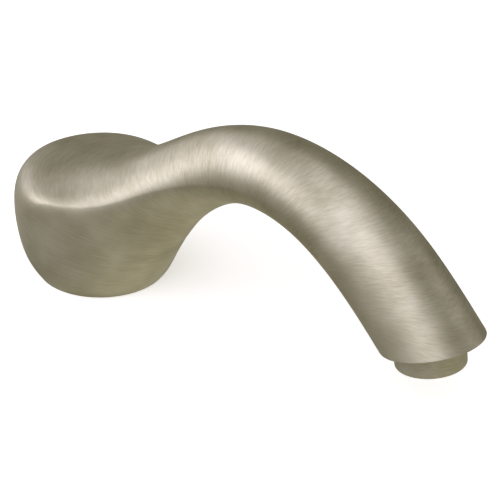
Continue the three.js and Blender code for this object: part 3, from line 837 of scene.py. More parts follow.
@dataclass
class SpoutBody:
    """The hollow cast body: a lofted skin, its cavity, the foot's rim and floor, and the outlet's recess.

    Attributes:
        outlet: the outlet's place, its own +Z pointing into the body.
    """

    outlet: Place
    wall: float = 2.8
    rim_width: float = 7.0
    rim_blend: float = 1.2
    cavity_end: float = 11.82
    rows: int = 250
    columns: int = 192
    lip: float = 1.3
    foot_edge: float = 0.5
    groove: tuple[float, float, float] = (25.8, 28.4, 1.9)
    recess: float = 16.3
    recess_depth: float = 2.5
    bore: float = 14.2
    boss: float = 17.6
    boss_top: float = 9.4
    plate: tuple[float, float] = (24.0, 28.0)
    plate_bore: float = 14.0
    plate_reach: float = 60.0
    set_boss: tuple[float, float, float] = (6.0, 14.5, 35.4)
    set_bore: float = 3.3
    plug_pocket: tuple[float, float] = (4.5, 30.0)
    brush_turn: tuple[float, float, float] = (8.0, 10.8, 0.6)

    def angles(self) -> Array:
        """Angles of the points round a section, from its outer point."""
        return np.arange(self.columns) * TURN / self.columns

    def section_rings(self, at: Array, inset: float | Array = 0.0, angles: Array | None = None) -> Array:
        """Points of the skin, or of a surface inside it.

        Each section is two half superellipses on one widest line: across it the share of the way from the inner
        to the outer point is widest plus the signed power of the angle's cosine, and the side is the half width
        times the signed power of its sine, both to the power 2 over the fullness.

        Args:
            at: places along the body, from 0 at the foot to 12 at the outlet.
            inset: millimetres inside the skin, one for all or one for each place.
            angles: angles round the section, one set for all or one for each place; all round if not given.

        Returns:
            Points as (place, angle, xyz).
        """
        angles = self.angles()[None, :] if angles is None else angles
        values = spline(SECTIONS, np.asarray(at, float))[:, None, :]
        outer_x, outer_z, inner_x, inner_z, half, widest, top, under = np.moveaxis(values, 2, 0)
        cosine, sine = np.cos(angles), np.sin(angles)
        power = 2 / np.where(cosine >= 0, top, under)
        rise = np.sign(cosine) * np.abs(cosine) ** power
        side = np.sign(sine) * np.abs(sine) ** power
        share = widest + rise * np.where(rise >= 0, 1 - widest, widest)
        inset = np.broadcast_to(np.asarray(inset, float), len(values))[:, None]
        depth = np.hypot(outer_x - inner_x, outer_z - inner_z)
        share = inset / depth + share * (1 - 2 * inset / depth)
        x = inner_x + (outer_x - inner_x) * share
        z = inner_z + (outer_z - inner_z) * share
        return np.stack(np.broadcast_arrays(x, (half - inset) * side, z), -1)

    def outlet_ring(self, radius: float, height: float) -> Array:
        """A circle about the outlet's axis, height above its cut end's middle, with the sections' angles."""
        angles = self.angles()
        points = [radius * np.cos(angles), radius * np.sin(angles), np.full(self.columns, height)]
        return self.outlet.put(np.stack(points, -1))

    def recess_mouth(self) -> Array:
        """Where the recess meets the cut end: its circle, moved along the outlet's axis to the end's plane."""
        ring = self.outlet_ring(self.recess, 0.0)
        outer, inner = SECTIONS[-1, [0, 1]], SECTIONS[-1, [2, 3]]
        normal = np.array([outer[1] - inner[1], 0.0, inner[0] - outer[0]])
        axis = np.array(self.outlet.up)
        off = (ring - np.array([inner[0], 0.0, inner[1]])) @ normal
        return ring - (off / (axis @ normal))[:, None] * axis

    def rim_ring(self, radius: float, height: float) -> Array:
        """A circle about the foot's centre, matched to the sections' angles."""
        angles = self.angles()
        return np.stack([-radius * np.cos(angles), radius * np.sin(angles), np.full(self.columns, height)], -1)

    def cavity_inset(self, at: Array) -> Array:
        """Depth of the cavity under the skin: the wall, thickening smoothly to the rim's width at the foot."""
        return self.wall + (self.rim_width - self.wall) * (1 - eased(at / self.rim_blend))

    def shell(self) -> Surface:
        """The skin, the cut end, the recess, the cavity and the foot's rim as one loop of rings."""
        last = len(SECTIONS) - 1
        near_foot, near_end = 0.045, last - 0.03
        skin = self.section_rings(np.linspace(near_foot, near_end, self.rows))
        inside = np.linspace(self.cavity_end - 0.1, 0.15, 70)
        cavity = self.section_rings(inside, self.cavity_inset(inside))
        end = [
            skin[-1],
            self.section_rings([last])[0],
            self.recess_mouth(),
            self.outlet_ring(self.recess, self.recess_depth),
            self.outlet_ring(self.bore, self.recess_depth),
            self.outlet_ring(self.bore, self.boss_top),
            self.outlet_ring(self.boss, self.boss_top),
            self.section_rings([self.cavity_end], self.wall)[0],
            cavity[0],
        ]
        inner, outer, deep = self.groove
        foot = [
            cavity[-1],
            self.rim_ring(SECTIONS[0, 4] - self.rim_width, 0),
            self.rim_ring(inner, 0),
            self.rim_ring(inner, deep),
            self.rim_ring(outer, deep),
            self.rim_ring(outer, 0),
            self.rim_ring(SECTIONS[0, 4], 0),
            skin[0],
        ]
        small = 0.3
        end_rings = filleted(np.array(end), [0, self.lip, *[small] * 6, 0], closed=False)
        foot_rings = filleted(np.array(foot), [0, *[small] * 5, self.foot_edge, 0], closed=False)
        slant = self.brush_slant(np.linspace(near_foot, near_end, self.rows))
        held = np.repeat(slant[-1:], len(end_rings), 0)
        fading = slant[-1] * np.linspace(1, 0, len(inside))[1:-1, None]
        none = np.zeros((len(foot_rings), self.columns))
        rings = np.concatenate([skin[1:-1], end_rings, cavity[1:-1], foot_rings])
        return Surface(rings, slant=np.concatenate([slant[1:-1], held, fading, none]))

    def brush_slant(self, at: Array) -> Array:
        """Turns the brush lines from the sections' planes towards level, as they are brushed near the outlet.

        The slant is a slope times the height across the section, and the slope grows smoothly over a stretch.

        Args:
            at: places along the body.

        Returns:
            The slant of each point, as (place, angle).
        """
        start, end, slope = self.brush_turn
        grown = slope * eased((at - start) / (end - start))
        values = spline(SECTIONS, at)
        depth = np.hypot(values[:, 0] - values[:, 2], values[:, 1] - values[:, 3])
        return -(grown * depth / 2)[:, None] * np.cos(self.angles())

    def floor_plate(self) -> bpy.types.Object:
        """The foot's cast floor, which carries the hub: a pierced slab that ends half way into the wall."""
        low, high = self.plate
        slab = make_object("floor_plate", [washer(self.plate_bore, self.plate_reach, low, high, 0.3)])
        inside = self.section_rings(np.linspace(0, 9, 90), self.wall / 2)
        combine(slab, make_object("inside", [Surface(inside, Ends.FAN)]), "INTERSECT")
        return slab

    def screw_boss(self) -> Surface:
        """The boss behind the post that the set screw runs in, with a pocket for its plug."""
        radius, inner, outer = self.set_boss
        pocket, pocket_floor = self.plug_pocket
        lathe = Lathe(48)
        lathe.plain([(self.set_bore, inner), (radius, inner), (radius, outer), (pocket, outer)])
        lathe.plain([(pocket, outer - 0.5), (pocket, pocket_floor), (self.set_bore, pocket_floor)])
        return lathe.surface(BEHIND)

    def skin_behind(self, side: Array, height: Array) -> Array:
        """How far behind the post's axis the skin lies.

        Newton's method on the skin's own coordinates, from the back of the foot: each step solves the two
        equations side and height with slopes taken over a small step.

        Args:
            side: Y of each point.
            height: Z of each point.

        Returns:
            The distance along -X to the skin, in millimetres.
        """
        at, angle, step = np.full(side.size, 1.0), np.zeros(side.size), 1e-4
        wanted = np.stack([side.ravel(), height.ravel()], -1)
        for _ in range(12):
            here = self.section_rings(at, 0.0, angle[:, None] + 1e-9)[:, 0]
            ahead = self.section_rings(at + step, 0.0, angle[:, None] + 1e-9)[:, 0]
            round_it = self.section_rings(at, 0.0, angle[:, None] + step)[:, 0]
            slopes = np.stack([(ahead - here)[:, 1:], (round_it - here)[:, 1:]], -1) / step
            move = np.linalg.solve(slopes, (wanted - here[:, 1:])[..., None])[..., 0]
            at, angle = np.clip(at + move[:, 0], 0.01, 4), angle + move[:, 1]
        return -self.section_rings(at, 0.0, angle[:, None] + 1e-9)[:, 0, 0].reshape(side.shape)

    def build(self, workshop: Workshop) -> None:
        """Makes the body as one piece and puts it in place of its CAD node."""
        body = make_object("body_casting", [self.shell()])
        pocket = Lathe(64)
        radius = self.plug_pocket[0]
        pocket.plain([(radius, 33), (radius, 50)])
        combine(body, make_object("pocket", [pocket.surface(BEHIND, Ends.FAN)]), "DIFFERENCE")
        absorb(body, self.floor_plate())
        absorb(body, make_object("screw_boss", [self.screw_boss()]))
        workshop.fit(body, "spout_body", Slot.NICKEL)


# ---------------------------------------------------------------- foot, post and hub


@dataclass
class MountingPost:
    """The threaded shank with its collar and post, and its seals."""

    bore: float = 6.5
    post: float = 10.0
    top: float = 26.0
    bottom: float = -72.0
    thread: tuple[float, float, float] = (10.4, 9.5, 1.814)
    collar: tuple[float, float, float] = (19.0, 1.8, 5.3)
    lock_groove: tuple[float, float, float] = (9.0, 12.0, 2.7)
    seal_levels: tuple[float, float] = (18.3, 22.8)
    seal_groove: tuple[float, float] = (7.9, 1.2)
    seal_section: float = 0.9
    gasket: tuple[float, float, float] = (11.0, 18.5, 1.5)
    chamfer: float = 0.8

    def shank(self) -> Surface:
        """The shank from its lower end up the outside and down the bore."""
        crest, root, pitch = self.thread
        radius, low, high = self.collar
        groove, level, half = self.lock_groove
        floor, reach = self.seal_groove
        outline = [(root, low - 0.6), (root, low), (radius, low), (radius, high), (self.post, high)]
        outline += [(self.post, level - half), (groove, level - half + self.chamfer)]
        outline += [(groove, level + half - self.chamfer), (self.post, level + half)]
        for seal in self.seal_levels:
            low_side, high_side = seal - reach, seal + reach
            outline += [(self.post, low_side), (floor, low_side), (floor, high_side), (self.post, high_side)]
        outline += [(self.post, self.top - self.chamfer), (self.post - self.chamfer, self.top)]
        outline += [(self.bore, self.top), (self.bore, self.top - 1)]
        end = self.bottom
        lathe = Lathe().plain([(self.bore, end + 1), (self.bore, end), (root - 0.2, end), (root, end + 0.3)])
        return lathe.thread(crest, root, end + 0.4, low - 0.7, pitch).plain(outline).surface()

    def build(self, workshop: Workshop) -> None:
        """Makes the shank, its gasket and its two O-rings."""
        workshop.make("post_and_shank", [self.shank()], "mounting_shank", Slot.BRASS)
        inner, outer, height = self.gasket
        workshop.make("collar_gasket", [washer(inner, outer, 0, height, 0.35)], "shank_gasket", Slot.RUBBER)
        middle = self.seal_groove[0] + GAP + self.seal_section
        for number, level in enumerate(self.seal_levels, 1):
            ring = o_ring(middle, self.seal_section, level)
            workshop.make(f"post_seal_{number}", [ring], f"post_o_ring_{number}", Slot.RUBBER)


@dataclass
class InletHub:
    """The brass hub that slips over the post, screwed up under the foot's floor."""

    bore: float = 10.3
    skirt: float = 13.7
    low: float = 6.0
    flange: tuple[float, float, float] = (21.5, 20.2, 23.7)
    top: float = 30.0
    spigot: tuple[float, float, float] = (5.9, 4.7, 38.0)
    screw_circle: float = 17.6
    screw_count: int = 3
    screw_thread: tuple[float, float, float] = (2.0, 1.65, 0.7)
    screw_head: tuple[float, float] = (3.5, 2.4)
    screw_end: float = 27.0
    key: float = 2.5

    def hub(self) -> Surface:
        """The hub as one turned ring."""
        radius, flange_low, flange_high = self.flange
        spigot, bore, spigot_top = self.spigot
        outline = [(self.bore, self.low), (self.skirt, self.low), (self.skirt, flange_low)]
        outline += [(radius, flange_low), (radius, flange_high), (self.skirt, flange_high)]
        outline += [(self.skirt, self.top), (spigot, self.top), (spigot, spigot_top), (bore, spigot_top)]
        outline += [(bore, self.top - 1), (self.bore, self.top - 3)]
        return turned(outline, 0.35)

    def screw(self, angle: float) -> Surface:
        """A socket button screw, from the bottom of its key socket round the head and up the shank."""
        head, height = self.screw_head
        crest, root, pitch = self.screw_thread
        seat = self.flange[1] - GAP
        low = seat - height
        lathe = Lathe(48)
        lathe.socket(self.key, low + 1.5, low)
        button = [(2.0, low), (2.9, low + 0.3), (head, low + 1.4), (head, seat)]
        lathe.plain(button + [(crest, seat), (crest, seat + 1)], 0.25)
        lathe.thread(crest, root, seat + 1.1, self.screw_end - 0.4, pitch)
        lathe.plain([(root, self.screw_end - 0.3), (root - 0.3, self.screw_end), (0.3, self.screw_end)], 0.1)
        centre = (self.screw_circle * math.cos(angle), self.screw_circle * math.sin(angle), 0.0)
        return lathe.surface(Place(origin=centre), Ends.FAN)

    def build(self, workshop: Workshop) -> None:
        """Makes the hub and its screws."""
        workshop.make("hub", [self.hub()], "inlet_hub", Slot.BRASS)
        for number in range(self.screw_count):
            screw = self.screw(TURN * number / self.screw_count)
            workshop.make(f"hub_fixing_{number + 1}", [screw], f"hub_screw_{number + 1}", Slot.STEEL)


@dataclass
class Foot:
    """The foot's own seal and the screw that locks the body to the post, with its soft tip and its plug."""

    body: SpoutBody
    gasket: tuple[float, float, float] = (26.1, 28.1, 1.6)
    thread: tuple[float, float, float] = (2.95, 2.5, 1.0)
    screw_start: float = 12.3
    screw_end: float = 27.2
    key: float = 3.0
    key_depth: float = 5.0
    tip: tuple[float, float] = (1.8, 9.4)
    stem: tuple[float, float] = (1.1, 14.0)
    plug: tuple[float, float, float] = (4.2, 30.3, 2.6)
    plug_wall: float = 1.4
    plug_sunk: float = 0.4

    def screw(self) -> Surface:
        """The set screw, from the hole for its tip round the thread and into the key socket."""
        crest, root, pitch = self.thread
        hole = self.stem[0] + GAP
        start, end = self.screw_start, self.screw_end
        lathe = Lathe(60)
        lathe.plain([(hole, start + 2), (hole, start), (root - 0.1, start), (root, start + 0.3)], 0.12)
        lathe.thread(crest, root, start + 0.4, end - 0.4, pitch)
        lathe.plain([(root, end - 0.3), (root - 0.25, end), (self.key / 2 + 0.4, end)], 0.1)
        lathe.socket(self.key, end, end - self.key_depth)
        return lathe.surface(BEHIND, Ends.FAN)

    def soft_tip(self) -> Surface:
        """The nylon tip: a blunt nose on a short stem."""
        radius, nose = self.tip
        stem, stem_end = self.stem
        head_end = self.screw_start - GAP
        outline = [(0.3, nose), (radius, nose), (radius, head_end)]
        outline += [(stem, head_end), (stem, stem_end), (0.3, stem_end)]
        return Lathe(48).plain(outline, 0.4).surface(BEHIND, Ends.FAN)

    def plug_button(self) -> Surface:
        """The plug: a hollow cup whose outer face follows the skin, a little sunk, with a rounded edge.

        The face is worked out on circles; its depth is the skin's less the sink, and less a quarter round that
        falls away over the last part of the radius.
        """
        radius, inner, hollow = self.plug
        lathe = Lathe(64)
        hole = radius - self.plug_wall
        lathe.plain([(hole - 0.4, inner + hollow), (hole, inner + hollow), (hole, inner), (radius, inner)], 0.2)
        edge = 0.5
        bend = np.linspace(0, math.pi / 2, 7)
        shares = np.concatenate([radius - edge + edge * np.cos(bend), np.linspace(radius - edge, 0.2, 12)[1:]])
        drops = np.concatenate([edge * (1 - np.sin(bend)), np.zeros(11)])
        radii = np.repeat(shares[:, None], lathe.sides, 1)
        across, side = radii * np.cos(lathe.angles()), radii * np.sin(lathe.angles())
        depth = self.body.skin_behind(side, SET_LEVEL + across) - self.plug_sunk - drops[:, None]
        face = BEHIND.put(np.stack([across, side, depth], -1))
        return Surface(np.concatenate([lathe.surface(BEHIND).rings, face]), Ends.FAN)

    def build(self, workshop: Workshop) -> None:
        """Makes the foot's gasket, the set screw, its tip and its plug."""
        inner, outer, height = self.gasket
        workshop.make("foot_seal", [washer(inner, outer, 0, height, 0.4)], "foot_gasket", Slot.RUBBER)
        workshop.make("grub_screw", [self.screw()], "set_screw", Slot.STEEL)
        workshop.make("grub_screw_tip", [self.soft_tip()], "set_screw_tip", Slot.NYLON)
        workshop.make("screw_cover", [self.plug_button()], "plug_button", Slot.NICKEL)


# ---------------------------------------------------------------- waterway and outlet


@dataclass
class Outlet:
    """The bush in the body's end, the aerator's ring on it, and the aerator's insert.

    Attributes:
        place: the outlet's place, its own +Z pointing into the body.
    """

    place: Place
    bush: tuple[float, float, float] = (13.9, 10.6, 9.7)
    bush_thread: tuple[float, float, float] = (13.0, 12.45, 1.0)
    nose_end: float = -5.2
    shoulder: float = 2.5
    plate_low: float = 7.5
    spigot: tuple[float, float, float] = (5.9, 4.7, 16.5)
    ring: tuple[float, float, float] = (15.8, 2.1, -10.4)
    ring_thread: tuple[float, float, float] = (13.3, 13.8, 1.0)
    ring_chamber: tuple[float, float] = (12.5, -9.2)
    thread_end: float = -7.2
    mouth: float = 11.2
    ring_edge: float = 1.6
    seal: tuple[float, float, float, float] = (9.9, 12.8, -6.8, -5.5)
    cage_outline: tuple[tuple[float, float], ...] = (
        (9.0, -8.9),
        (12.2, -8.9),
        (12.2, -7.1),
        (9.6, -7.1),
        (9.6, 1.2),
        (8.8, 1.2),
        (8.8, -7.6),
    )
    comb: tuple[float, float, float] = (8.5, -8.7, -4.4)
    cell_pitch: float = 3.3
    cell_wall: float = 0.55
    comb_rings: int = 2
    screen: tuple[float, float, float] = (9.6, 2.9, 3.4)
    wire: float = 0.12
    wire_pitch: float = 0.75

    def bush_surface(self) -> Surface:
        """The bush, from its nose up the outside and down the bore."""
        radius, bore, top = self.bush
        crest, root, pitch = self.bush_thread
        spigot, spigot_bore, spigot_top = self.spigot
        nose = self.nose_end
        lathe = Lathe().plain([(bore, nose + 1), (bore, nose), (root - 0.3, nose), (root, nose + 0.3)])
        lathe.thread(crest, root, nose + 0.4, self.shoulder - 0.7, pitch)
        outline = [(root, self.shoulder - 0.6), (root, self.shoulder), (radius, self.shoulder)]
        outline += [(radius, top - GAP), (spigot, top), (spigot, spigot_top)]
        outline += [(spigot_bore, spigot_top), (spigot_bore, self.plate_low)]
        lathe.plain(outline + [(bore, self.plate_low), (bore, self.plate_low - 1)])
        return lathe.surface(self.place)

    def ring_surface(self) -> Surface:
        """The aerator's ring: plain outside with a rounded lower edge, threaded inside, lipped at its mouth."""
        radius, top, end = self.ring
        crest, root, pitch = self.ring_thread
        chamber, lip = self.ring_chamber
        deep = self.thread_end
        lathe = Lathe(160).thread(crest, root, top - 0.5, deep + 0.3, pitch)
        lathe.plain([(root, deep + 0.2), (root, deep), (chamber, deep), (chamber, lip)], 0.2)
        lathe.plain([(chamber - 0.3, lip), (self.mouth, lip), (self.mouth, end), (radius - 2.4, end)], 0.35)
        lathe.plain([(radius - 2.3, end), (radius, end), (radius, end + 4)], self.ring_edge)
        lathe.plain([(radius, end + 4.2), (radius, top), (root, top), (root, top - 0.4)], 0.45)
        return lathe.surface(self.place)

    def net(self) -> Array:
        """Middles of the comb's cells: a triangular net with the same number of cells on each side."""
        span = np.arange(-self.comb_rings, self.comb_rings + 1)
        first, second = (grid.ravel() for grid in np.meshgrid(span, span, indexing="ij"))
        kept = np.abs(first + second) <= self.comb_rings
        first, second = first[kept], second[kept]
        return self.cell_pitch * np.stack([first + second / 2, second * math.sqrt(3) / 2], -1)

    def comb_surfaces(self) -> list[Surface]:
        """The flow straightener: a rim, and one six-sided tube for each cell."""
        radius, low, high = self.comb
        surfaces = [washer(radius - 0.7, radius, low, high, 0.1, self.place)]
        corners = math.pi / 6 + np.arange(6) * TURN / 6
        outside = self.cell_pitch / 2 / math.cos(math.pi / 6)
        inside = outside - self.cell_wall / 2 / math.cos(math.pi / 6)
        radii = np.array([outside, outside, inside, inside])
        heights = np.array([low + 0.1, high, high, low + 0.1])
        x, y = radii[:, None] * np.cos(corners), radii[:, None] * np.sin(corners)
        tube = np.stack([x, y, np.repeat(heights[:, None], 6, 1)], -1)
        return surfaces + [Surface(self.place.put(tube + np.array([*middle, 0]))) for middle in self.net()]

    def screen_surfaces(self) -> list[Surface]:
        """The inlet screen: a rim, and wires woven over a shallow dome.

        A wire's height is the dome's, low plus rise times the root of one less the squared share of the radius,
        with a wave of one wire up and down from crossing to crossing.
        """
        radius, low, rise = self.screen
        surfaces = [washer(radius - 0.9, radius, low, low + 0.8, 0.2, self.place)]
        lines = np.arange(-radius + self.wire_pitch, radius - self.wire_pitch / 2, self.wire_pitch)
        share, around = np.linspace(-1, 1, 61), np.arange(6) * TURN / 6
        for number, offset in enumerate(lines):
            reach = math.sqrt((radius - 0.4) ** 2 - offset**2) if abs(offset) < radius - 0.4 else 0.1
            run = share * reach
            dome = rise * np.sqrt(np.clip(1 - (run**2 + offset**2) / (radius + 0.4) ** 2, 0, 1))
            wave = self.wire * np.cos(math.pi * (run / self.wire_pitch + number))
            slope = np.gradient(low + 0.5 + dome, run)
            lean = np.stack([-slope, np.zeros_like(slope), np.ones_like(slope)], -1)
            lean /= np.linalg.norm(lean, axis=1, keepdims=True)
            for direction in (1, -1):
                middle = np.stack([run, np.full_like(run, offset), low + 0.5 + dome + direction * wave], -1)
                ring = middle[:, None] + self.wire * np.cos(around)[None, :, None] * np.array([0.0, 1.0, 0.0])
                ring = ring + self.wire * np.sin(around)[None, :, None] * lean[:, None]
                if direction < 0:
                    ring = ring[..., [1, 0, 2]]
                surfaces.append(Surface(self.place.put(ring), Ends.FAN))
        return surfaces

    def build(self, workshop: Workshop) -> None:
        """Makes the bush, the ring and the insert's pieces."""
        workshop.make("end_bush", [self.bush_surface()], "outlet_bush", Slot.BRASS)
        workshop.make("aerator_ring", [self.ring_surface()], "aerator_housing", Slot.NICKEL)
        inner, outer, low, high = self.seal
        seal = washer(inner, outer, low, high, 0.3, self.place)
        workshop.make("aerator_seal", [seal], "aerator_washer", Slot.RUBBER)
        workshop.make("insert_cage", [turned(self.cage_outline, 0.15, self.place)], "aerator_cage", Slot.ACETAL)
        workshop.make("straightener_comb", self.comb_surfaces(), "flow_straightener", Slot.ACETAL)
        workshop.make("dome_screen", self.screen_surfaces(), "inlet_screen", Slot.STEEL)
        workshop.keep("mixing_plate", Slot.ACETAL)


@dataclass
class Waterway:
    """The pipe from the hub to the outlet's bush, held on both spigots by crimped ferrules."""

    outlet: Place
    radius: float = 8.0
    bore: float = 6.7
    hub_top: float = 30.0
    spigot_top: float = 38.0
    bush_top: float = 9.7
    bush_spigot: float = 16.5
    ferrule: tuple[float, float, float] = (8.5, 9.4, 4.0)
    ferrule_start: float = 1.3
    bends: tuple[tuple[float, float], ...] = (
        (4, 44),
        (16, 50.5),
        (33.5, 55.5),
        (51, 63.5),
        (73, 77),
        (101, 85),
        (129, 81),
        (153, 71.5),
        (173, 63.5),
    )

    def path(self) -> Array:
        """The pipe's middle line: straight off each spigot, and a smooth curve through the body between."""
        start = [(0, 0, height) for height in (self.hub_top + GAP, self.hub_top + 3, self.spigot_top)]
        middle = [(x, 0, z) for x, z in self.bends]
        ends = (self.bush_spigot + 3, self.bush_spigot, self.bush_top + 3, self.bush_top + GAP)
        end = [tuple(self.outlet.put(np.array([0.0, 0.0, height]))) for height in ends]
        points = np.array(start + middle + end, float)
        return spline(points, np.linspace(0, len(points) - 1, 140))

    def pipe(self) -> Surface:
        """The pipe: rings square to its line, out along the outside and back along the bore."""
        line = self.path()
        tangent = np.gradient(line, axis=0)
        tangent /= np.linalg.norm(tangent, axis=1, keepdims=True)
        normal = np.stack([-tangent[:, 2], np.zeros(len(line)), tangent[:, 0]], -1)
        around = np.arange(48) * TURN / 48
        cosine, sine = np.cos(around)[None, :, None], np.sin(around)[None, :, None]
        spokes = cosine * normal[:, None] + sine * np.array([0.0, 1.0, 0.0])
        outside = line[:, None] + self.radius * spokes
        inside = line[:, None] + self.bore * spokes
        return Surface(np.concatenate([outside, inside[::-1]]))

    def crimped(self, low: float, place: Place) -> Surface:
        """A steel ferrule with eight crimp marks round it."""
        inner, outer, length = self.ferrule
        lathe = Lathe()
        outline = [(inner, low + 0.5), (inner, low), (outer, low), (outer, low + length), (inner, low + length)]
        lathe.plain(outline + [(inner, low + length - 0.5)], 0.25).dented(8, 0.25)
        return lathe.surface(place)

    def build(self, workshop: Workshop) -> None:
        """Makes the pipe and its two ferrules."""
        workshop.make("water_pipe", [self.pipe()], "waterway_tube", Slot.PEX)
        hub_end = self.crimped(self.hub_top + self.ferrule_start, UPRIGHT)
        workshop.make("hub_ferrule", [hub_end], "inlet_ferrule", Slot.STEEL)
        bush_end = self.crimped(self.bush_top + self.ferrule_start, self.outlet)
        workshop.make("bush_ferrule", [bush_end], "outlet_ferrule", Slot.STEEL)


# ---------------------------------------------------------------- below the deck


@dataclass
class DeckFixing:
    """The washers and the lock nut that draw the shank down on to the deck."""

    deck: float = 20.0
    rubber: tuple[float, float, float] = (10.8, 22.0, 3.0)
    steel: tuple[float, float, float] = (10.8, 21.0, 2.0)
    nut_flats: float = 30.0
    nut_height: float = 9.0
    nut_thread: tuple[float, float, float] = (10.5, 11.0, 1.814)

    def nut(self, top: float) -> Surface:
        """The lock nut, from its bore out over the lower face, up the flats and back down the thread."""
        crest, root, pitch = self.nut_thread
        low, face = top - self.nut_height, self.nut_flats / 2 * 0.96
        lathe = Lathe()
        lathe.plain([(root, low + 0.4), (root + 0.3, low), (face - 0.2, low)], 0.2)
        lathe.hexagon(self.nut_flats, low, top, face)
        lathe.plain([(face - 0.2, top), (root + 0.3, top), (root, top - 0.4)], 0.2)
        lathe.thread(crest, root, top - 0.5, low + 0.5, pitch)
        return lathe.surface()

    def build(self, workshop: Workshop) -> None:
        """Makes the two washers and the nut."""
        inner, outer, height = self.rubber
        level = -self.deck
        seal = washer(inner, outer, level - height, level, 0.5)
        workshop.make("sealing_washer", [seal], "rubber_washer", Slot.RUBBER)
        inner, outer, thick = self.steel
        level -= height + GAP
        plain = washer(inner, outer, level - thick, level, 0.3)
        workshop.make("plain_washer", [plain], "steel_washer", Slot.STEEL)
        level -= thick + 2 * GAP
        workshop.make("shank_nut", [self.nut(level)], "lock_nut", Slot.BRASS)


@dataclass
class SupplyTail:
    """The tailpiece that brings the water, its washer, and the nut that holds it to the shank."""

    flats: float = 27.0
    nut: tuple[float, float, float] = (-60.0, -77.2, -80.5)
    nut_thread: tuple[float, float, float] = (10.5, 11.0, 1.814)
    tail: tuple[float, float, float] = (8.5, 5.5, -100.0)
    flange: tuple[float, float, float] = (9.9, -74.1, -76.9)
    packing: tuple[float, float, float, float] = (6.6, 9.9, -73.8, -72.3)

    def coupling(self) -> Surface:
        """The coupling nut, from its lower bore out over the lower face, up the flats and down the thread."""
        top, seat, bottom = self.nut
        crest, root, pitch = self.nut_thread
        hole, face = self.tail[0] + GAP, self.flats / 2 * 0.96
        lathe = Lathe()
        lathe.plain([(hole, seat - 0.5), (hole, bottom), (face - 0.2, bottom)], 0.3)
        lathe.hexagon(self.flats, bottom, top, face)
        lathe.plain([(face - 0.2, top), (root + 0.2, top), (root, top - 0.3)], 0.2)
        lathe.thread(crest, root, top - 0.4, seat + 0.6, pitch)
        lathe.plain([(root, seat + 0.5), (root, seat), (hole, seat), (hole, seat - 0.4)], 0.2)
        return lathe.surface()

    def tailpiece(self) -> Surface:
        """The tailpiece: a tube with a flange at its top and a chamfered lower end."""
        radius, bore, bottom = self.tail
        flange, high, low = self.flange
        outline = [(bore, bottom), (radius - 0.5, bottom), (radius, bottom + 0.8), (radius, low), (flange, low)]
        return turned(outline + [(flange, high), (bore, high)], 0.35)

    def build(self, workshop: Workshop) -> None:
        """Makes the tailpiece, the fibre washer and the coupling nut."""
        workshop.make("supply_tail_tube", [self.tailpiece()], "supply_tailpiece", Slot.BRASS)
        workshop.make("coupling_packing", [washer(*self.packing, 0.2)], "fibre_washer", Slot.FIBRE)
        workshop.make("supply_coupling", [self.coupling()], "coupling_nut", Slot.BRASS)


# ---------------------------------------------------------------- studio


def direction(azimuth: float, elevation: float) -> Vector:
    """The direction at an azimuth, in degrees from +X towards +Y, and an elevation, in degrees."""
    turn, rise = math.radians(azimuth), math.radians(elevation)
    return Vector((math.cos(turn) * math.cos(rise), math.sin(turn) * math.cos(rise), math.sin(rise)))


@dataclass(frozen=True)
class SoftBox:
    """A soft light, placed by the angles that it shines from.

    Attributes:
        name: its name.
        azimuth: degrees from +X towards +Y.
        elevation: degrees above the floor.
        distance: metres from what it lights.
        width: metres.
        height: metres.
        power: watts.
        colour: sRGB colour.
    """

    name: str
    azimuth: float
    elevation: float
    distance: float
    width: float
    height: float
    power: float
    colour: str = "#EEEBFF"

    def build(self, target: Vector) -> None:
        """Hangs the light, turned to its target."""
        light = bpy.data.lights.new(self.name, "AREA")
        light.shape = "RECTANGLE"
        light.size, light.size_y = self.width, self.height
        light.energy = self.power
        light.color = linear(self.colour)[:3]
        hung = place_in_scene(self.name, light)
        towards = direction(self.azimuth, self.elevation)
        hung.location = target + towards * self.distance
        hung.rotation_euler = towards.to_track_quat("Z", "Y").to_euler()


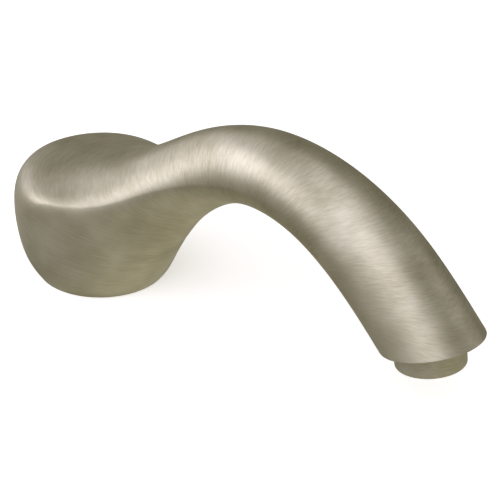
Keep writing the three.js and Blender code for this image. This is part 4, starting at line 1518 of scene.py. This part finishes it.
@dataclass
class Studio:
    """The pale floor, the soft lights, the dim room and the camera.

    Attributes:
        floor_reach: metres from the middle of the floor to its edges.
        floor_drop: millimetres that it lies below the deck's level, so that nothing flickers on it.
        floor_glow: strength of its own light.
        floor_tooth: millimetres from the bottom to the top of the paper's tooth, 1.1 mm apart.
        surroundings: sRGB colour of the room, and brightness its strength.
        bounce: sRGB colour of the room from below, strongest towards bounce_turn and bounce_tilt, in degrees.
        turn: degrees that the camera stands round the object, and tilt how far above it.
        distance: metres from the camera to the origin, and lens its focal length.
        aim_right: metres that the camera is shifted to the right, and aim_up those upwards.
        lights: the soft boxes.
    """

    floor_reach: float = 12.0
    floor_drop: float = 0.1
    floor_colour: str = "#F4F3F0"
    floor_glow: float = 0.55
    floor_tooth: float = 0.03
    surroundings: str = "#878575"
    brightness: float = 1.08
    bounce: str = "#D2CEBC"
    bounce_turn: float = 20.0
    bounce_tilt: float = -62.0
    turn: float = 40.37
    tilt: float = 29.49
    distance: float = 1.4
    lens: float = 214.7
    aim_right: float = 0.06927
    aim_up: float = 0.00715
    lights: tuple[SoftBox, ...] = (
        SoftBox("key_softbox", -135.0, 20.0, 1.4, 1.15, 1.0, 10.6),
        SoftBox("front_softbox", -62.0, 47.0, 1.4, 1.2, 1.1, 7.9),
        SoftBox("low_softbox", -78.0, 18.0, 1.4, 1.2, 0.8, 3.6),
        SoftBox("right_softbox", -40.0, 14.0, 1.4, 1.2, 0.9, 1.9),
        SoftBox("back_softbox", 180.0, 24.0, 1.4, 0.9, 1.0, 3.4),
        SoftBox("overhead_softbox", 0.0, 85.0, 1.4, 1.0, 1.0, 4.0),
        SoftBox("side_softbox", 45.0, 20.0, 1.4, 1.0, 1.0, 1.9),
    )

    def camera(self) -> None:
        """Stands the camera on its line of sight, level, looking at its aim."""
        turn, tilt = math.radians(self.turn), math.radians(self.tilt)
        right = Vector((math.cos(turn), math.sin(turn), 0))
        back = Vector((math.sin(turn) * math.cos(tilt), -math.cos(turn) * math.cos(tilt), math.sin(tilt)))
        up = back.cross(right)
        data = bpy.data.cameras.new("camera")
        data.lens, data.sensor_width = self.lens, 36.0
        camera = place_in_scene("camera", data)
        place = back * self.distance + right * self.aim_right + up * self.aim_up
        camera.matrix_world = Matrix.Translation(place) @ Matrix((right, up, back)).transposed().to_4x4()
        bpy.context.scene.camera = camera

    def floor(self) -> None:
        """Lays the floor: a pale sheet of paper with a faint tooth, lit a little from beneath."""
        reach, level = self.floor_reach, -self.floor_drop * MM
        corners = [(x * reach, y * reach, level) for x, y in ((-1, -1), (1, -1), (1, 1), (-1, 1))]
        mesh = bpy.data.meshes.new("floor")
        mesh.from_pydata(corners, [], [(0, 1, 2, 3)])
        sheet = place_in_scene("floor", mesh)
        material, tree = new_material("matt_white_paper")
        place = add_node(tree, "ShaderNodeTexCoord").outputs["Object"]
        fine = {"Vector": place, "Scale": 900.0, "Detail": 3.0}
        tooth = add_node(tree, "ShaderNodeTexNoise", fine).outputs[0]
        colour = linear(self.floor_colour)
        paper = {"Base Color": colour, "Roughness": 0.9}
        paper |= {"Emission Color": colour, "Emission Strength": self.floor_glow}
        dress_surface(tree, tooth, self.floor_tooth, paper)
        mesh.materials.append(material)
        sheet.visible_glossy = False
        sheet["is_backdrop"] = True

    def surround(self) -> None:
        """Gives the room its dim light, brighter where the floor throws it back, and sets plain colours."""
        world = bpy.data.worlds.new("studio")
        world.use_nodes = True
        tree = world.node_tree
        tree.nodes.clear()
        facing = add_node(tree, "ShaderNodeTexCoord").outputs["Generated"]
        towards = {0: facing, 1: direction(self.bounce_turn, self.bounce_tilt)}
        closeness = add_node(tree, "ShaderNodeVectorMath", towards, operation="DOT_PRODUCT").outputs["Value"]
        colour = tinted(tree, spread(tree, closeness, 0.3, 1.0), self.surroundings, self.bounce)
        background = add_node(tree, "ShaderNodeBackground", {"Color": colour, "Strength": self.brightness})
        add_node(tree, "ShaderNodeOutputWorld", {0: background.outputs[0]})
        bpy.context.scene.world = world
        bpy.context.scene.view_settings.view_transform = "Standard"

    def build(self, target: Vector) -> None:
        """Sets up the camera, the floor and the lights."""
        self.camera()
        self.floor()
        self.surround()
        for light in self.lights:
            light.build(target)


# ---------------------------------------------------------------- assembly


def outlet_place(frame: dict[str, Any]) -> Place:
    """The outlet's place, from the joint that the aerator turns on: own +Z points into the body."""
    joint = next(joint for joint in frame["joints"] if joint["name"] == "aerator_turn")
    axis = Vector(joint["axis"]).normalized()
    up, side = -axis, Vector((0, 1, 0))
    origin = Vector(joint["pos_m"]) / MM
    return Place(tuple(origin), tuple(side.cross(up)), tuple(side), tuple(up))


def main() -> None:
    """Loads the frame, sets up the studio and builds each sub-assembly in turn."""
    logging.basicConfig(level=logging.INFO, format="%(name)s %(message)s")
    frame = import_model()
    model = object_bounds()
    Studio().build((model[0] + model[1]) / 2)
    workshop = Workshop(frame)
    place = outlet_place(frame)
    body = SpoutBody(place)
    fixed = (body, Foot(body), MountingPost(), InletHub())
    for assembly in (*fixed, Waterway(place), Outlet(place), DeckFixing(), SupplyTail()):
        LOG.info("%s", type(assembly).__name__)
        assembly.build(workshop)


if __name__ == "__main__":
    main()
